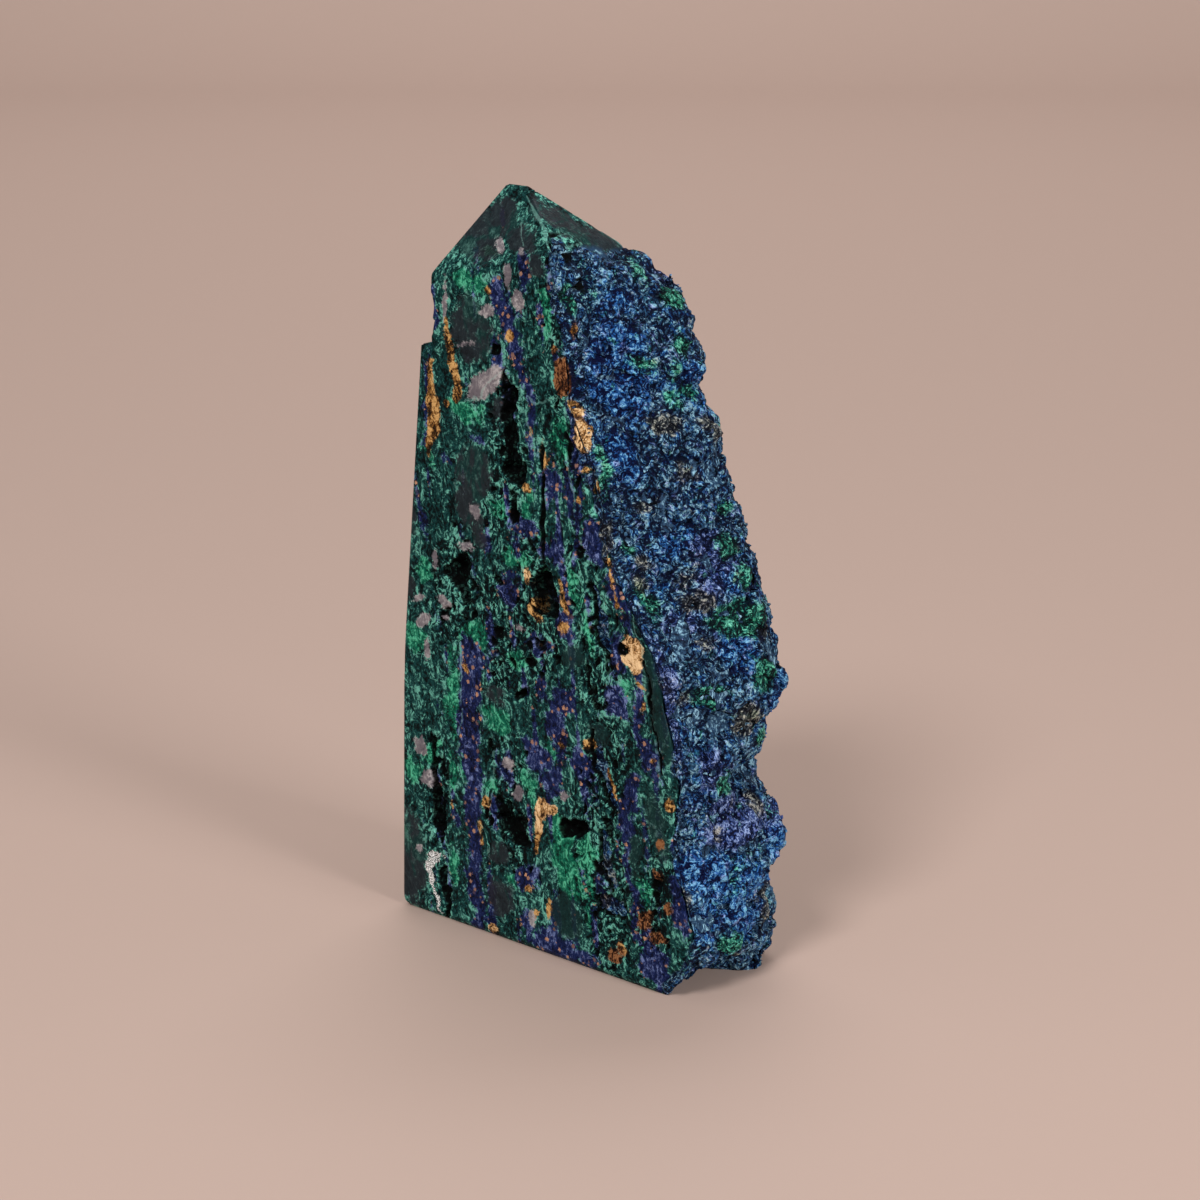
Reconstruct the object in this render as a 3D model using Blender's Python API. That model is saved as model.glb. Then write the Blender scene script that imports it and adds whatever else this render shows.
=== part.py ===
"""Azurite and malachite point: one piece of ore, ground flat on the front, back, left, foot and tip, and left
natural on the right, where a crust of blue azurite crystals has grown.

Blender units are metres, +Z is up. The origin is the middle of the ground foot, which lies on z = 0.
The polished front faces -Y, the natural crust faces +X.

Inside the functions a place on the stone is given as (u, d, z) in millimetres: u runs along the front
face from its left foot corner, d goes back from the front face, z goes up. place() turns that into
the frame of the model.
"""

import math

import bmesh
import bpy
import numpy as np
from mathutils import Matrix, Vector

MM = 0.001

# Overall size, in millimetres
TIP_HEIGHT = 114.6
FOOT_WIDTH = 58.0
THICKNESS = 26.0
TIP_U, TIP_D = 18.5, 8.5

# Ground faces: the way each faces in plan (degrees from +X), its slope from level, a point on it (u, d, z)
GROUND_FACES = {
    "front": (-90.0, 90.0, (0.0, 0.0, 0.0)),
    "back": (90.0, 88.6, (0.0, THICKNESS, 0.0)),
    "left_low": (180.0, 88.3, (0.0, 0.0, 0.0)),
    "left_high": (180.0, 84.3, (1.2, 0.0, 35.0)),
    "foot": (0.0, 180.0, (0.0, 0.0, 0.0)),
    "tip_front": (-97.1, 54.9, (16.8, TIP_D, TIP_HEIGHT)),
    "tip_left": (177.5, 60.8, (16.8, TIP_D, TIP_HEIGHT)),
    "tip_right": (11.8, 34.6, (21.7, TIP_D, TIP_HEIGHT - 0.2)),
    "tip_back": (87.4, 42.2, (16.8, TIP_D, TIP_HEIGHT)),
}

# Narrow flats where the polisher broke the sharp edges
BROKEN_EDGES = {
    "front_left": (-135.0, 89.0, (0.45, 0.45, 0.0)),
    "back_left": (135.0, 88.0, (0.7, THICKNESS - 0.7, 0.0)),
    "foot_left": (180.0, 124.0, (0.0, 0.0, 2.2)),
    "foot_front": (-90.0, 135.0, (0.0, 0.35, 0.35)),
    "foot_back": (90.0, 135.0, (0.0, THICKNESS - 0.6, 0.6)),
}

# Outline of the natural side, as height: distance from the left foot corner.
# The first is where the front face ends, the second lies CRUST_BACK_D behind it.
CRUST_BACK_D = 21.0
CRUST_FRONT_EDGE = {
    -4: 54.0, 0: 56.7, 6: 61.3, 11: 62.4, 16: 60.8, 21: 58.8, 27: 58.9, 33: 59.7, 38: 58.3, 45: 56.3,
    51: 54.0, 55: 51.3, 61: 47.0, 65: 45.6, 76: 43.0, 80: 40.3, 85: 38.1, 93: 36.8, 99: 36.0, 106: 34.0,
    110: 33.3, 120: 31.0,
}
CRUST_BACK_EDGE = {
    -4: 56.5, 1: 58.3, 6: 60.4, 9: 59.8, 14: 59.0, 18: 61.5, 22: 61.2, 27: 58.2, 31: 56.0, 38: 58.9,
    43: 61.9, 47: 61.4, 52: 59.2, 55: 58.4, 64: 54.2, 74: 50.6, 80: 49.2, 82: 47.8, 86: 44.8, 89: 45.8,
    91: 44.6, 97: 42.4, 102: 38.4, 104: 36.0, 107: 31.5, 112: 25.0, 120: 15.0,
}

# The arch under the crust, where it stands clear of the table: its height, half width and middle
ARCH_HEIGHT, ARCH_HALF_WIDTH, ARCH_D, ARCH_REACH = 3.2, 4.8, 9.0, 5.5

# Natural hollow high on the left side: how far in it lies, how far back and between which heights it runs
LEFT_HOLLOW_U, LEFT_HOLLOW_D, LEFT_HOLLOW_Z = 9.2, 15.0, (88.6, 106.0)
# Bay of natural surface that the crust makes in the back face: its middle, half width and half height, depth
BACK_BAY_U, BACK_BAY_Z, BACK_BAY_SIZE, BACK_BAY_DEPTH = 43.0, 60.0, (11.0, 24.0), 3.4
# How far the bay's middle leans to the left for each millimetre up, as the crust does
BACK_BAY_LEAN = 0.22

# Rings and columns of the natural block before it is ground
RING_STEP = 1.7
COLUMNS = {"front": 4, "right": 19, "back_right": 14, "back_left": 4, "left": 12}

# Cavities: (u, z) of the middle, width, height, depth, lean in degrees (top leans to -u where positive)
FRONT_VUGS = [
    (25.5, 78.0, 3.6, 18.5, 3.0, 5),
    (32.0, 71.5, 1.3, 14.5, 2.2, 0),
    (32.4, 53.4, 6.6, 9.6, 4.2, 14),
    (43.4, 54.0, 2.6, 10.0, 3.4, 20),
    (14.2, 55.5, 5.2, 6.8, 3.2, 0),
    (27.6, 40.2, 4.6, 2.6, 3.0, 38),
    (9.4, 18.6, 2.8, 16.5, 3.4, 6),
    (10.4, 5.6, 2.0, 7.5, 2.2, 12),
    (24.6, 19.8, 5.6, 9.4, 3.6, 34),
    (44.2, 32.2, 3.4, 11.4, 3.4, 24),
    (44.6, 18.6, 2.6, 8.4, 3.4, 18),
    (46.2, 10.6, 5.8, 4.6, 3.6, 0),
    (38.4, 21.4, 6.4, 3.0, 2.8, 12),
    (36.4, 97.5, 1.3, 6.4, 1.6, 14),
]
BACK_VUGS = [
    (12.0, 84.0, 3.6, 12.0, 3.0, -8),
    (14.0, 30.0, 5.0, 15.0, 3.6, -12),
    (38.0, 22.0, 4.2, 9.0, 3.2, -20),
    (8.0, 57.0, 2.6, 8.0, 2.6, -6),
]
VUG_ROUGHNESS = 0.34

# Larger azurite crystals that stand up from the crust: how many, how far they stand out, how wide they are
CRYSTAL_COUNT = 70
CRYSTAL_REACH = (0.7, 1.7)
CRYSTAL_WIDTH = (1.9, 3.4)
SEED = 7


def place(u, d, z):
    """The point (u, d, z) of the stone, in millimetres, as a point of the model in metres."""
    return Vector((u - FOOT_WIDTH / 2, d - THICKNESS / 2, z)) * MM


def clear_scene():
    for obj in list(bpy.data.objects):
        bpy.data.objects.remove(obj, do_unlink=True)


def lattice_value(corner, seed):
    """A fixed pseudo-random number from -1 to 1 for each integer lattice corner."""
    mixed = corner[..., 0] * 73856093 ^ corner[..., 1] * 19349663 ^ corner[..., 2] * 83492791 ^ seed * 2654435
    for _ in range(2):
        mixed = (mixed & 0x7FFFFFFF) * 1103515245 + 12345
        mixed = mixed ^ (mixed >> 15)
    return (mixed & 0xFFFFFF) / float(0x7FFFFF) - 1.0


def noise(points, cell, seed):
    """Smooth noise from -1 to 1: lattice values at a spacing of cell, blended by 3t^2 - 2t^3 along each axis."""
    scaled = np.asarray(points, float) / cell
    base = np.floor(scaled)
    blend = scaled - base
    blend = blend * blend * (3 - 2 * blend)
    base = base.astype(np.int64)
    total = np.zeros(scaled.shape[:-1])
    for corner in np.ndindex(2, 2, 2):
        share = np.prod(np.where(np.array(corner) == 1, blend, 1 - blend), axis=-1)
        total += share * lattice_value(base + np.array(corner), seed)
    return total


def grains(points, cell, seed):
    """Flat-faced grains, from about -1 to 1: a point takes the height of a tilted plane belonging to the nearest
    of a scatter of centres, one in each square cell."""
    flat = np.asarray(points, float)[..., :2] / cell
    base = np.floor(flat).astype(np.int64)
    nearest = np.full(flat.shape[:-1], np.inf)
    height = np.zeros(flat.shape[:-1])
    for shift in np.ndindex(3, 3):
        own = base + np.array(shift) - 1
        key = [np.concatenate([own, np.full(own[..., :1].shape, layer)], axis=-1) for layer in range(5)]
        values = [lattice_value(k, seed) for k in key]
        away = flat - own - 0.5 - 0.42 * np.stack(values[:2], axis=-1)
        distance = (away ** 2).sum(axis=-1)
        plane = 0.5 * values[2] + 0.8 * (away[..., 0] * values[3] + away[..., 1] * values[4])
        height = np.where(distance < nearest, plane, height)
        nearest = np.minimum(distance, nearest)
    return height


def crust_u(d, z):
    """How far out the natural side reaches at depth d and height z: the two outlines blended by depth, bulged
    between them, rounded off towards the back, arched over the table, with lumps of two sizes and grains."""
    share = np.clip(d / CRUST_BACK_D, 0, 1)
    share = share * share * (3 - 2 * share)
    front = np.interp(z, list(CRUST_FRONT_EDGE), list(CRUST_FRONT_EDGE.values()))
    back = np.interp(z, list(CRUST_BACK_EDGE), list(CRUST_BACK_EDGE.values()))
    reach = front * (1 - share) + back * share + 0.9 * np.sin(math.pi * share)
    reach = reach - 9.0 * (np.clip(d - 18.5, 0, None) / 8.0) ** 2
    arch = np.exp(-((z / ARCH_HEIGHT) ** 2)) * np.exp(-(((d - ARCH_D) / ARCH_HALF_WIDTH) ** 4))
    at = np.stack(np.broadcast_arrays(d * 1.0, z * 1.0, 0.0 * z), axis=-1)
    inside = np.clip(d / 1.5, 0, 1)
    lumps = 0.55 * noise(at, 7.0, 1) + 0.45 * noise(at, 3.4, 2) + 0.75 * grains(at, 2.9, 3)
    return reach - ARCH_REACH * arch + lumps * (0.3 + 0.7 * inside)


def left_u(d, z):
    """The natural surface on the left: far outside the ground face but for one hollow near the top."""
    low, high = LEFT_HOLLOW_Z
    at = np.stack(np.broadcast_arrays(d * 1.0, z * 1.0, 0.0 * z + 5.0), axis=-1)
    within = np.clip((z - low - 0.8 * noise(at, 4.0, 7)) / 2.2, 0, 1) * np.clip((high - z) / 2.0, 0, 1)
    within = within * np.clip((LEFT_HOLLOW_D - d + 3.0 * noise(at, 6.0, 4)) / 3.0, 0, 1)
    hollow = LEFT_HOLLOW_U + 0.5 * noise(at, 3.0, 5) + 0.6 * grains(at, 2.6, 8)
    return -6.0 * (1 - within) + hollow * within


def back_d(u, z):
    """The natural surface at the back: outside the ground face but for one bay beside the crust."""
    wide, tall = BACK_BAY_SIZE
    ground = THICKNESS - z * math.tan(math.radians(90.0 - GROUND_FACES["back"][1]))
    at = np.stack(np.broadcast_arrays(u * 1.0, z * 1.0, 0.0 * z + 9.0), axis=-1)
    middle = BACK_BAY_U - BACK_BAY_LEAN * (z - BACK_BAY_Z)
    bay = np.exp(-(((u - middle) / wide) ** 2) - ((z - BACK_BAY_Z) / tall) ** 2)
    return ground + 1.6 - BACK_BAY_DEPTH * bay - 0.6 * noise(at, 6.0, 6) - 0.45 * grains(at, 2.8, 9)


def inside_block(u, d, z):
    return (u < crust_u(d, z)) & (u > left_u(d, z)) & (d > -3.0) & (d < back_d(u, z))


def column_angles():
    """Directions of the columns round the block, aimed at even steps along each side of its plan."""
    corners = {
        "front": ((-4, -2), (60, -2)),
        "right": ((60, -2), (60, 22)),
        "back_right": ((60, 22), (34, 27)),
        "back_left": ((34, 27), (-4, 27)),
        "left": ((-4, 27), (-4, -2)),
    }
    middle = np.array([FOOT_WIDTH / 2, THICKNESS / 2])
    aims = []
    for side, count in COLUMNS.items():
        start, end = (np.array(c, float) for c in corners[side])
        steps = np.arange(count)[:, None] / count
        aims.append(start + (end - start) * steps - middle)
    aims = np.concatenate(aims)
    return np.arctan2(aims[:, 1], aims[:, 0])


def block_surface():
    """Points of the natural block, by ring and column: from a leaning axis, each ray's first exit, found by
    marching out and then halving the step."""
    heights = np.arange(-2.0, TIP_HEIGHT + 3.0, RING_STEP)
    angle = column_angles()
    z, angle = np.meshgrid(heights, angle, indexing="ij")
    lean = np.clip(z / TIP_HEIGHT, 0, 1)
    axis_u = FOOT_WIDTH / 2 * (1 - lean) + TIP_U * lean
    axis_d = THICKNESS / 2 * (1 - lean) + TIP_D * lean
    reach, step = np.zeros_like(z), 1.0
    moving = np.ones(z.shape, bool)
    while moving.any() and reach.max() < 2 * FOOT_WIDTH:
        ahead = reach + step
        moving &= inside_block(axis_u + ahead * np.cos(angle), axis_d + ahead * np.sin(angle), z)
        reach = np.where(moving, ahead, reach)
    for _ in range(12):
        step /= 2
        ahead = reach + step
        stays = inside_block(axis_u + ahead * np.cos(angle), axis_d + ahead * np.sin(angle), z)
        reach = np.where(stays, ahead, reach)
    return axis_u + reach * np.cos(angle), axis_d + reach * np.sin(angle), z


def natural_block():
    """The block of ore before grinding: rings of points joined by quads, closed by a face at each end."""
    u, d, z = block_surface()
    rings, columns = u.shape
    bm = bmesh.new()
    rows = [[bm.verts.new(place(u[i, j], d[i, j], z[i, j])) for j in range(columns)] for i in range(rings)]
    for lower, upper in zip(rows, rows[1:]):
        for j in range(columns):
            k = (j + 1) % columns
            bm.faces.new((lower[j], lower[k], upper[k], upper[j]))
    bm.faces.new(list(reversed(rows[0])))
    bm.faces.new(rows[-1])
    return bm


def grind(bm, heading, slope, point):
    """Cuts everything beyond one plane away and closes the cut with a flat face."""
    level, steep = math.radians(heading), math.radians(slope)
    normal = Vector((math.cos(level) * math.sin(steep), math.sin(level) * math.sin(steep), math.cos(steep)))
    geometry = bm.verts[:] + bm.edges[:] + bm.faces[:]
    cut = bmesh.ops.bisect_plane(
        bm, geom=geometry, dist=1e-7, plane_co=place(*point), plane_no=normal, clear_outer=True
    )
    rim = [item for item in cut["geom_cut"] if isinstance(item, bmesh.types.BMEdge)]
    bmesh.ops.contextual_create(bm, geom=rim)


def ground_form():
    """All that the grinding leaves: a box larger than the stone, cut by every ground face and broken edge."""
    bm = bmesh.new()
    bmesh.ops.create_cube(bm, size=0.4)
    for heading, slope, point in (*GROUND_FACES.values(), *BROKEN_EDGES.values()):
        grind(bm, heading, slope, point)
    bmesh.ops.recalc_face_normals(bm, faces=bm.faces[:])
    return bm


def add_crystal(bm, root, outward, reach, width, turn):
    """One blocky crystal: a four-sided prism rooted inside the crust, ending in a chisel edge."""
    side = Matrix.Rotation(turn, 3, outward) @ outward.orthogonal().normalized()
    across = outward.cross(side)
    foot = root - outward * width * 0.55
    shoulder = root + outward * reach * 0.4
    end = root + outward * reach
    profile = ((1.0, 0.0), (0.0, 0.66), (-1.0, 0.0), (0.0, -0.66))
    lower = [bm.verts.new(foot + (side * a + across * b) * width * 0.4) for a, b in profile]
    upper = [bm.verts.new(shoulder + (side * a + across * b) * width * 0.5) for a, b in profile]
    ridge = [bm.verts.new(end + side * a * width * 0.26) for a in (1, -1)]
    for j in range(4):
        k = (j + 1) % 4
        bm.faces.new((lower[j], lower[k], upper[k], upper[j]))
    bm.faces.new(list(reversed(lower)))
    bm.faces.new((upper[0], upper[1], ridge[0]))
    bm.faces.new((upper[1], upper[2], ridge[1], ridge[0]))
    bm.faces.new((upper[2], upper[3], ridge[1]))
    bm.faces.new((upper[3], upper[0], ridge[0], ridge[1]))


def crystals():
    """The larger azurite crystals of the crust, spread evenly in height and at random in depth."""
    rng = np.random.default_rng(SEED)
    bm = bmesh.new()
    for number in range(CRYSTAL_COUNT):
        d = rng.uniform(3.0, 21.0)
        z = 5.0 + (number + rng.uniform(0, 1)) * 96.0 / CRYSTAL_COUNT
        near_d = np.array([d, d + 1.0, d])
        near_z = np.array([z, z, z + 1.0])
        here, behind, above = crust_u(near_d, near_z)
        outward = Vector((1.0, here - behind, here - above)).normalized()
        outward = (outward + Vector(rng.uniform(-0.5, 0.5, 3))).normalized()
        reach, width = rng.uniform(*CRYSTAL_REACH), rng.uniform(*CRYSTAL_WIDTH)
        add_crystal(bm, place(here, d, z), outward, reach * MM, width * MM, rng.uniform(0, math.pi))
    bmesh.ops.recalc_face_normals(bm, faces=bm.faces[:])
    return bm


def add_vug(bm, face_d, u, z, width, height, depth, lean, seed):
    """One cavity's cutter: a row of overlapping lumps along the cavity, each stretched to its width and depth."""
    count = int(np.clip(round(height / width), 1, 3))
    turn = Matrix.Rotation(math.radians(-lean), 4, "Y")
    for lump in range(count):
        along = (lump + 0.5) / count - 0.5
        drift = 0.22 * width * float(lattice_value(np.array([lump, 5, 9]), seed)) * (count > 1)
        half = Vector((width * (1.0 - 0.9 * along ** 2) / 2, depth, height / count * (0.95 if count > 1 else 0.5)))
        made = bmesh.ops.create_icosphere(bm, subdivisions=3 if width * depth > 25 else 2, radius=1.0)
        for vert in made["verts"]:
            skin = 1.0 + VUG_ROUGHNESS * float(noise(np.array(vert.co) + 7.0 + 3 * lump, 0.7, seed))
            vert.co = Vector((vert.co.x * half.x + drift, vert.co.y * half.y, vert.co.z * half.z)) * skin
            vert.co = (vert.co + Vector((0, 0, along * height * 0.8))) * MM
        bmesh.ops.transform(bm, matrix=Matrix.Translation(place(u, face_d, z)) @ turn, verts=made["verts"])


def vug_cutters():
    bm = bmesh.new()
    for number, vug in enumerate(FRONT_VUGS):
        add_vug(bm, -0.3, *vug, seed=20 + number)
    for number, (u, z, *rest) in enumerate(BACK_VUGS):
        lean_in = z * math.tan(math.radians(90.0 - GROUND_FACES["back"][1]))
        add_vug(bm, THICKNESS - lean_in + 0.3, u, z, *rest, seed=60 + number)
    return bm


def mesh_object(name, bm):
    mesh = bpy.data.meshes.new(name)
    bm.to_mesh(mesh)
    bm.free()
    obj = bpy.data.objects.new(name, mesh)
    bpy.context.scene.collection.objects.link(obj)
    return obj


def helper(obj):
    obj.hide_render = True
    obj.display_type = "WIRE"
    return obj


def stone_material():
    material = bpy.data.materials.new("azurite_ore")
    material.use_nodes = True
    shader = material.node_tree.nodes["Principled BSDF"]
    shader.inputs["Base Color"].default_value = (0.035, 0.085, 0.16, 1.0)
    shader.inputs["Roughness"].default_value = 0.45
    shader.inputs["Metallic"].default_value = 0.0
    return material


def add_boolean(obj, name, operation, other):
    modifier = obj.modifiers.new(name, "BOOLEAN")
    modifier.operation = operation
    modifier.object = other
    modifier.solver = "EXACT"
    modifier.use_self = operation != "INTERSECT"


def main():
    clear_scene()
    stone = mesh_object("azurite_point", natural_block())
    stone.data.materials.append(stone_material())
    add_boolean(stone, "crystals", "UNION", helper(mesh_object("crystal_helper", crystals())))
    add_boolean(stone, "grinding", "INTERSECT", helper(mesh_object("ground_helper", ground_form())))
    add_boolean(stone, "cavities", "DIFFERENCE", helper(mesh_object("vug_cutter", vug_cutters())))


main()
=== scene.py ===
"""The looks of the azurite and malachite point: the ground ore with its veins and cavities, the crust of azurite
grains on the natural side with its small crystals, a pale floor, soft light and the camera.

Inside the functions a place on the stone is given as (u, d, z) in millimetres: u runs along the front face from
its left foot corner, d goes back from the front face, z goes up. in_frame() turns that into the frame in metres.
"""
import math

import bpy
import numpy as np
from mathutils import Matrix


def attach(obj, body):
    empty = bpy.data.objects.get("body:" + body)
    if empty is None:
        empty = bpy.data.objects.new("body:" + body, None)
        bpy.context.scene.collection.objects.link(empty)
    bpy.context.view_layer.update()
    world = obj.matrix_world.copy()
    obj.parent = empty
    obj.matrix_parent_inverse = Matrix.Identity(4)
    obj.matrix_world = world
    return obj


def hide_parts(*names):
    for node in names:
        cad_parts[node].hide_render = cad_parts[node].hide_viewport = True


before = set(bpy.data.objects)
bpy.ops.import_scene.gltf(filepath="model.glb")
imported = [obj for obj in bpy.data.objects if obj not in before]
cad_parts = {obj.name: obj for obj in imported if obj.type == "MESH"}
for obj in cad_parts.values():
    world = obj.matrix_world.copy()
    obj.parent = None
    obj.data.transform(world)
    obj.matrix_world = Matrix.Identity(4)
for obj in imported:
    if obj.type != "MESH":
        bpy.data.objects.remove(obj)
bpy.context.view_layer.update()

MM = 0.001
BODY, NODE, SLOT = "root", "azurite_point", "azurite_ore"

# Overall size, in millimetres
TIP_HEIGHT = 114.6
FOOT_WIDTH = 58.0
THICKNESS = 26.0
AXIS_TOP = (19.0, 8.38)
BACK_SLOPE = 88.6

# Ground faces and broken edges by side: the way each faces in plan (degrees from +X), its slope, a point on it
GROUND = {
    "front": (
        (-90.0, 90.0, (0.0, 0.0, 0.0)),
        (-97.1, 54.9, (16.8, 8.5, 114.6)),
        (-135.0, 89.0, (0.45, 0.45, 0.0)),
        (-90.0, 135.0, (0.0, 0.35, 0.35)),
    ),
    "right": ((11.8, 34.6, (21.7, 8.5, 114.4)),),
    "back": (
        (90.0, BACK_SLOPE, (0.0, 26.0, 0.0)),
        (87.4, 42.2, (16.8, 8.5, 114.6)),
        (135.0, 88.0, (0.7, 25.3, 0.0)),
        (90.0, 135.0, (0.0, 25.4, 0.6)),
    ),
    "left": (
        (180.0, 88.3, (0.0, 0.0, 0.0)),
        (180.0, 84.3, (1.2, 0.0, 35.0)),
        (177.5, 60.8, (16.8, 8.5, 114.6)),
        (180.0, 124.0, (0.0, 0.0, 2.2)),
    ),
}
EDGE_ROUNDING = 0.13

# Outline of the natural side, as height: distance from the left foot corner, in front and at CRUST_BACK_D behind.
# Then the arch over the table, the hollow on the left near the top and the bay in the back
CRUST_BACK_D = 21.0
CRUST_FRONT_EDGE = {
    -4: 54.0, 0: 56.7, 6: 61.3, 11: 62.4, 16: 60.8, 21: 58.8, 27: 58.9, 33: 59.7, 38: 58.3, 45: 56.3,
    51: 54.0, 55: 51.3, 61: 47.0, 65: 45.6, 76: 43.0, 80: 40.3, 85: 38.1, 93: 36.8, 99: 36.0, 106: 34.0,
    110: 33.3, 120: 31.0,
}
CRUST_BACK_EDGE = {
    -4: 56.5, 1: 58.3, 6: 60.4, 9: 59.8, 14: 59.0, 18: 61.5, 22: 61.2, 27: 58.2, 31: 56.0, 38: 58.9,
    43: 61.9, 47: 61.4, 52: 59.2, 55: 58.4, 64: 54.2, 74: 50.6, 80: 49.2, 82: 47.8, 86: 44.8, 89: 45.8,
    91: 44.6, 97: 42.4, 102: 38.4, 104: 36.0, 107: 31.5, 112: 25.0, 120: 15.0,
}
ARCH_HEIGHT, ARCH_HALF_WIDTH, ARCH_D, ARCH_REACH = 3.2, 4.8, 9.0, 5.5
LEFT_HOLLOW_U, LEFT_HOLLOW_D, LEFT_HOLLOW_Z = 9.2, 15.0, (88.6, 106.0)
BACK_BAY_U, BACK_BAY_Z, BACK_BAY_SIZE, BACK_BAY_DEPTH, BACK_BAY_LEAN = 43.0, 60.0, (11.0, 24.0), 3.4, 0.22

# Rows and columns of the ground body, and of the crust laid over its natural side
BODY_ROW_STEP, BODY_COLUMNS = 0.315, {"front": 156, "right": 24, "back": 40, "left": 40}
CRUST_ROW_STEP, CRUST_COLUMNS, CRUST_INNER = 0.265, {"front": 26, "right": 128, "back": 54}, 6
CRUST_SUNK, CRUST_THICKNESS, CRUST_TOP = 0.8, 2.4, 111.0
# The shell of the crust starts at this share of the front's outline and ends at this share of the back's
CRUST_FRONT_START, CRUST_BACK_END = 0.86, 0.62
# Rays that find a row's outline, how far out they reach, and how often their reach is halved
RAYS, FAR_OUT, HALVINGS = 720, 46.0, 18
# The bands run into the stone: this far along the front and up it for each millimetre of depth, down to BAND_DEPTH
BAND_DRIFT_U, BAND_DRIFT_Z, BAND_DEPTH = 0.944, 0.363, 12
# Sizes of the crust's knobs and grains, and the dark lump that juts out of it
KNOB_SIZE, GRAIN_SIZE, FINE_SIZE = 4.2, 1.7, 0.9
NUB_D, NUB_Z, NUB_HEIGHT = 19.0, 80.4, 2.6
BLADE_COUNT = 900

# Colours as screen values: dark, middle and bright for each mineral, then those that have only one
TONES = {
    "malachite": ((0, 8, 10), (15, 60, 60), (104, 176, 158)),
    "lively malachite": ((2, 24, 24), (10, 94, 72), (84, 182, 144)),
    "azurite": ((2, 6, 26), (22, 35, 80), (112, 128, 176)),
    "charcoal": ((12, 12, 18), (36, 38, 44), (84, 90, 94)),
    "green charcoal": ((5, 13, 14), (16, 42, 42), (76, 112, 106)),
    "grey": ((44, 40, 50), (104, 98, 104), (178, 172, 172)),
    "natural": ((6, 12, 28), (34, 60, 86), (130, 170, 190)),
    "ground rust": ((20, 10, 8), (82, 46, 26), (142, 96, 62)),
    "ground ochre": ((30, 20, 12), (124, 84, 40), (204, 160, 100)),
    "ground tan": ((48, 30, 18), (178, 134, 84), (236, 200, 152)),
    "natural rust": ((22, 10, 8), (90, 48, 24), (150, 98, 62)),
    "natural ochre": ((34, 22, 12), (136, 88, 36), (214, 166, 96)),
    "natural tan": ((70, 44, 24), (190, 142, 88), (238, 204, 158)),
    "druse": ((0, 8, 32), (38, 76, 108), (138, 180, 198)),
    "vivid druse": ((0, 6, 44), (24, 80, 144), (120, 180, 220)),
    "violet druse": ((2, 6, 36), (44, 60, 118), (146, 160, 214)),
    "green druse": ((0, 18, 18), (22, 104, 80), (110, 206, 166)),
    "brown druse": ((6, 8, 12), (66, 66, 60), (176, 168, 148)),
}
PEACH_DARK, PEACH, PALE_LINE = (96, 72, 74), (186, 138, 108), (96, 140, 132)
# The near-black in the cavities, cracks and pits is painted shade; the green is the lace of mineral inside them
CAVITY_SHADE_BLACK, CAVITY_GREEN = (1, 2, 2), (26, 62, 54)
QUARTZ_SHADE, QUARTZ, FLOOR_COLOUR = (60, 64, 62), (250, 250, 248), (178, 155, 144)
LACE_RATE, LACE_WAVES, BUMP_DEPTH = 0.42, 3.4, 0.0003

# The photograph's standpoint: place, degrees down and degrees round
CAMERA_PLACE, CAMERA_DOWN, CAMERA_ROUND = (0.30141, -0.31681, 0.168), 14.8, 43.35

# Cavities: (u, z) of the middle, width, height, depth, lean in degrees (the top leans to -u where positive)
FRONT_VUGS = (
    (25.6, 78, 3.4, 17.5, 3.2, 4), (32, 71, 1.1, 13.5, 2.4, 0), (32.6, 55.6, 5.6, 7.4, 4, 14),
    (43.6, 53.6, 2.2, 10, 3.4, 20), (44.8, 47.6, 0.8, 5.4, 1.6, 0), (14.2, 56, 4.8, 6.4, 3, 0),
    (27.6, 40.3, 5.6, 1.9, 3, 34), (9, 18.8, 2.2, 15.5, 3.2, 6), (10.2, 5.4, 2, 8.5, 2.2, 10),
    (24.8, 19.4, 4.6, 8.4, 3, 40), (43.6, 32.2, 2.6, 9, 3.2, 26), (44.6, 18.8, 2.2, 7.4, 3.2, 16),
    (46, 11.2, 5.4, 3, 3.2, 0), (38.6, 21.6, 6, 2, 2.8, 14), (36.5, 97.5, 1.1, 6, 1.6, 14),
    (35.8, 66.2, 0.9, 4.6, 1.6, 10), (31, 11.7, 0.8, 3.8, 1.4, 12), (42.2, 76, 2.4, 1.4, 1.6, 0),
    (48.2, 51, 2.4, 1.9, 1.6, 0), (22.6, 91.6, 2, 1.4, 1.4, 30), (42, 43.4, 3, 1.6, 1.4, 40),
)
BACK_VUGS = (
    (12, 84, 3.6, 12, 3, -8), (14, 30, 5, 15, 3.6, -12), (38, 22, 4.2, 9, 3.2, -20), (8, 57, 2.6, 8, 2.6, -6),
)

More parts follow.
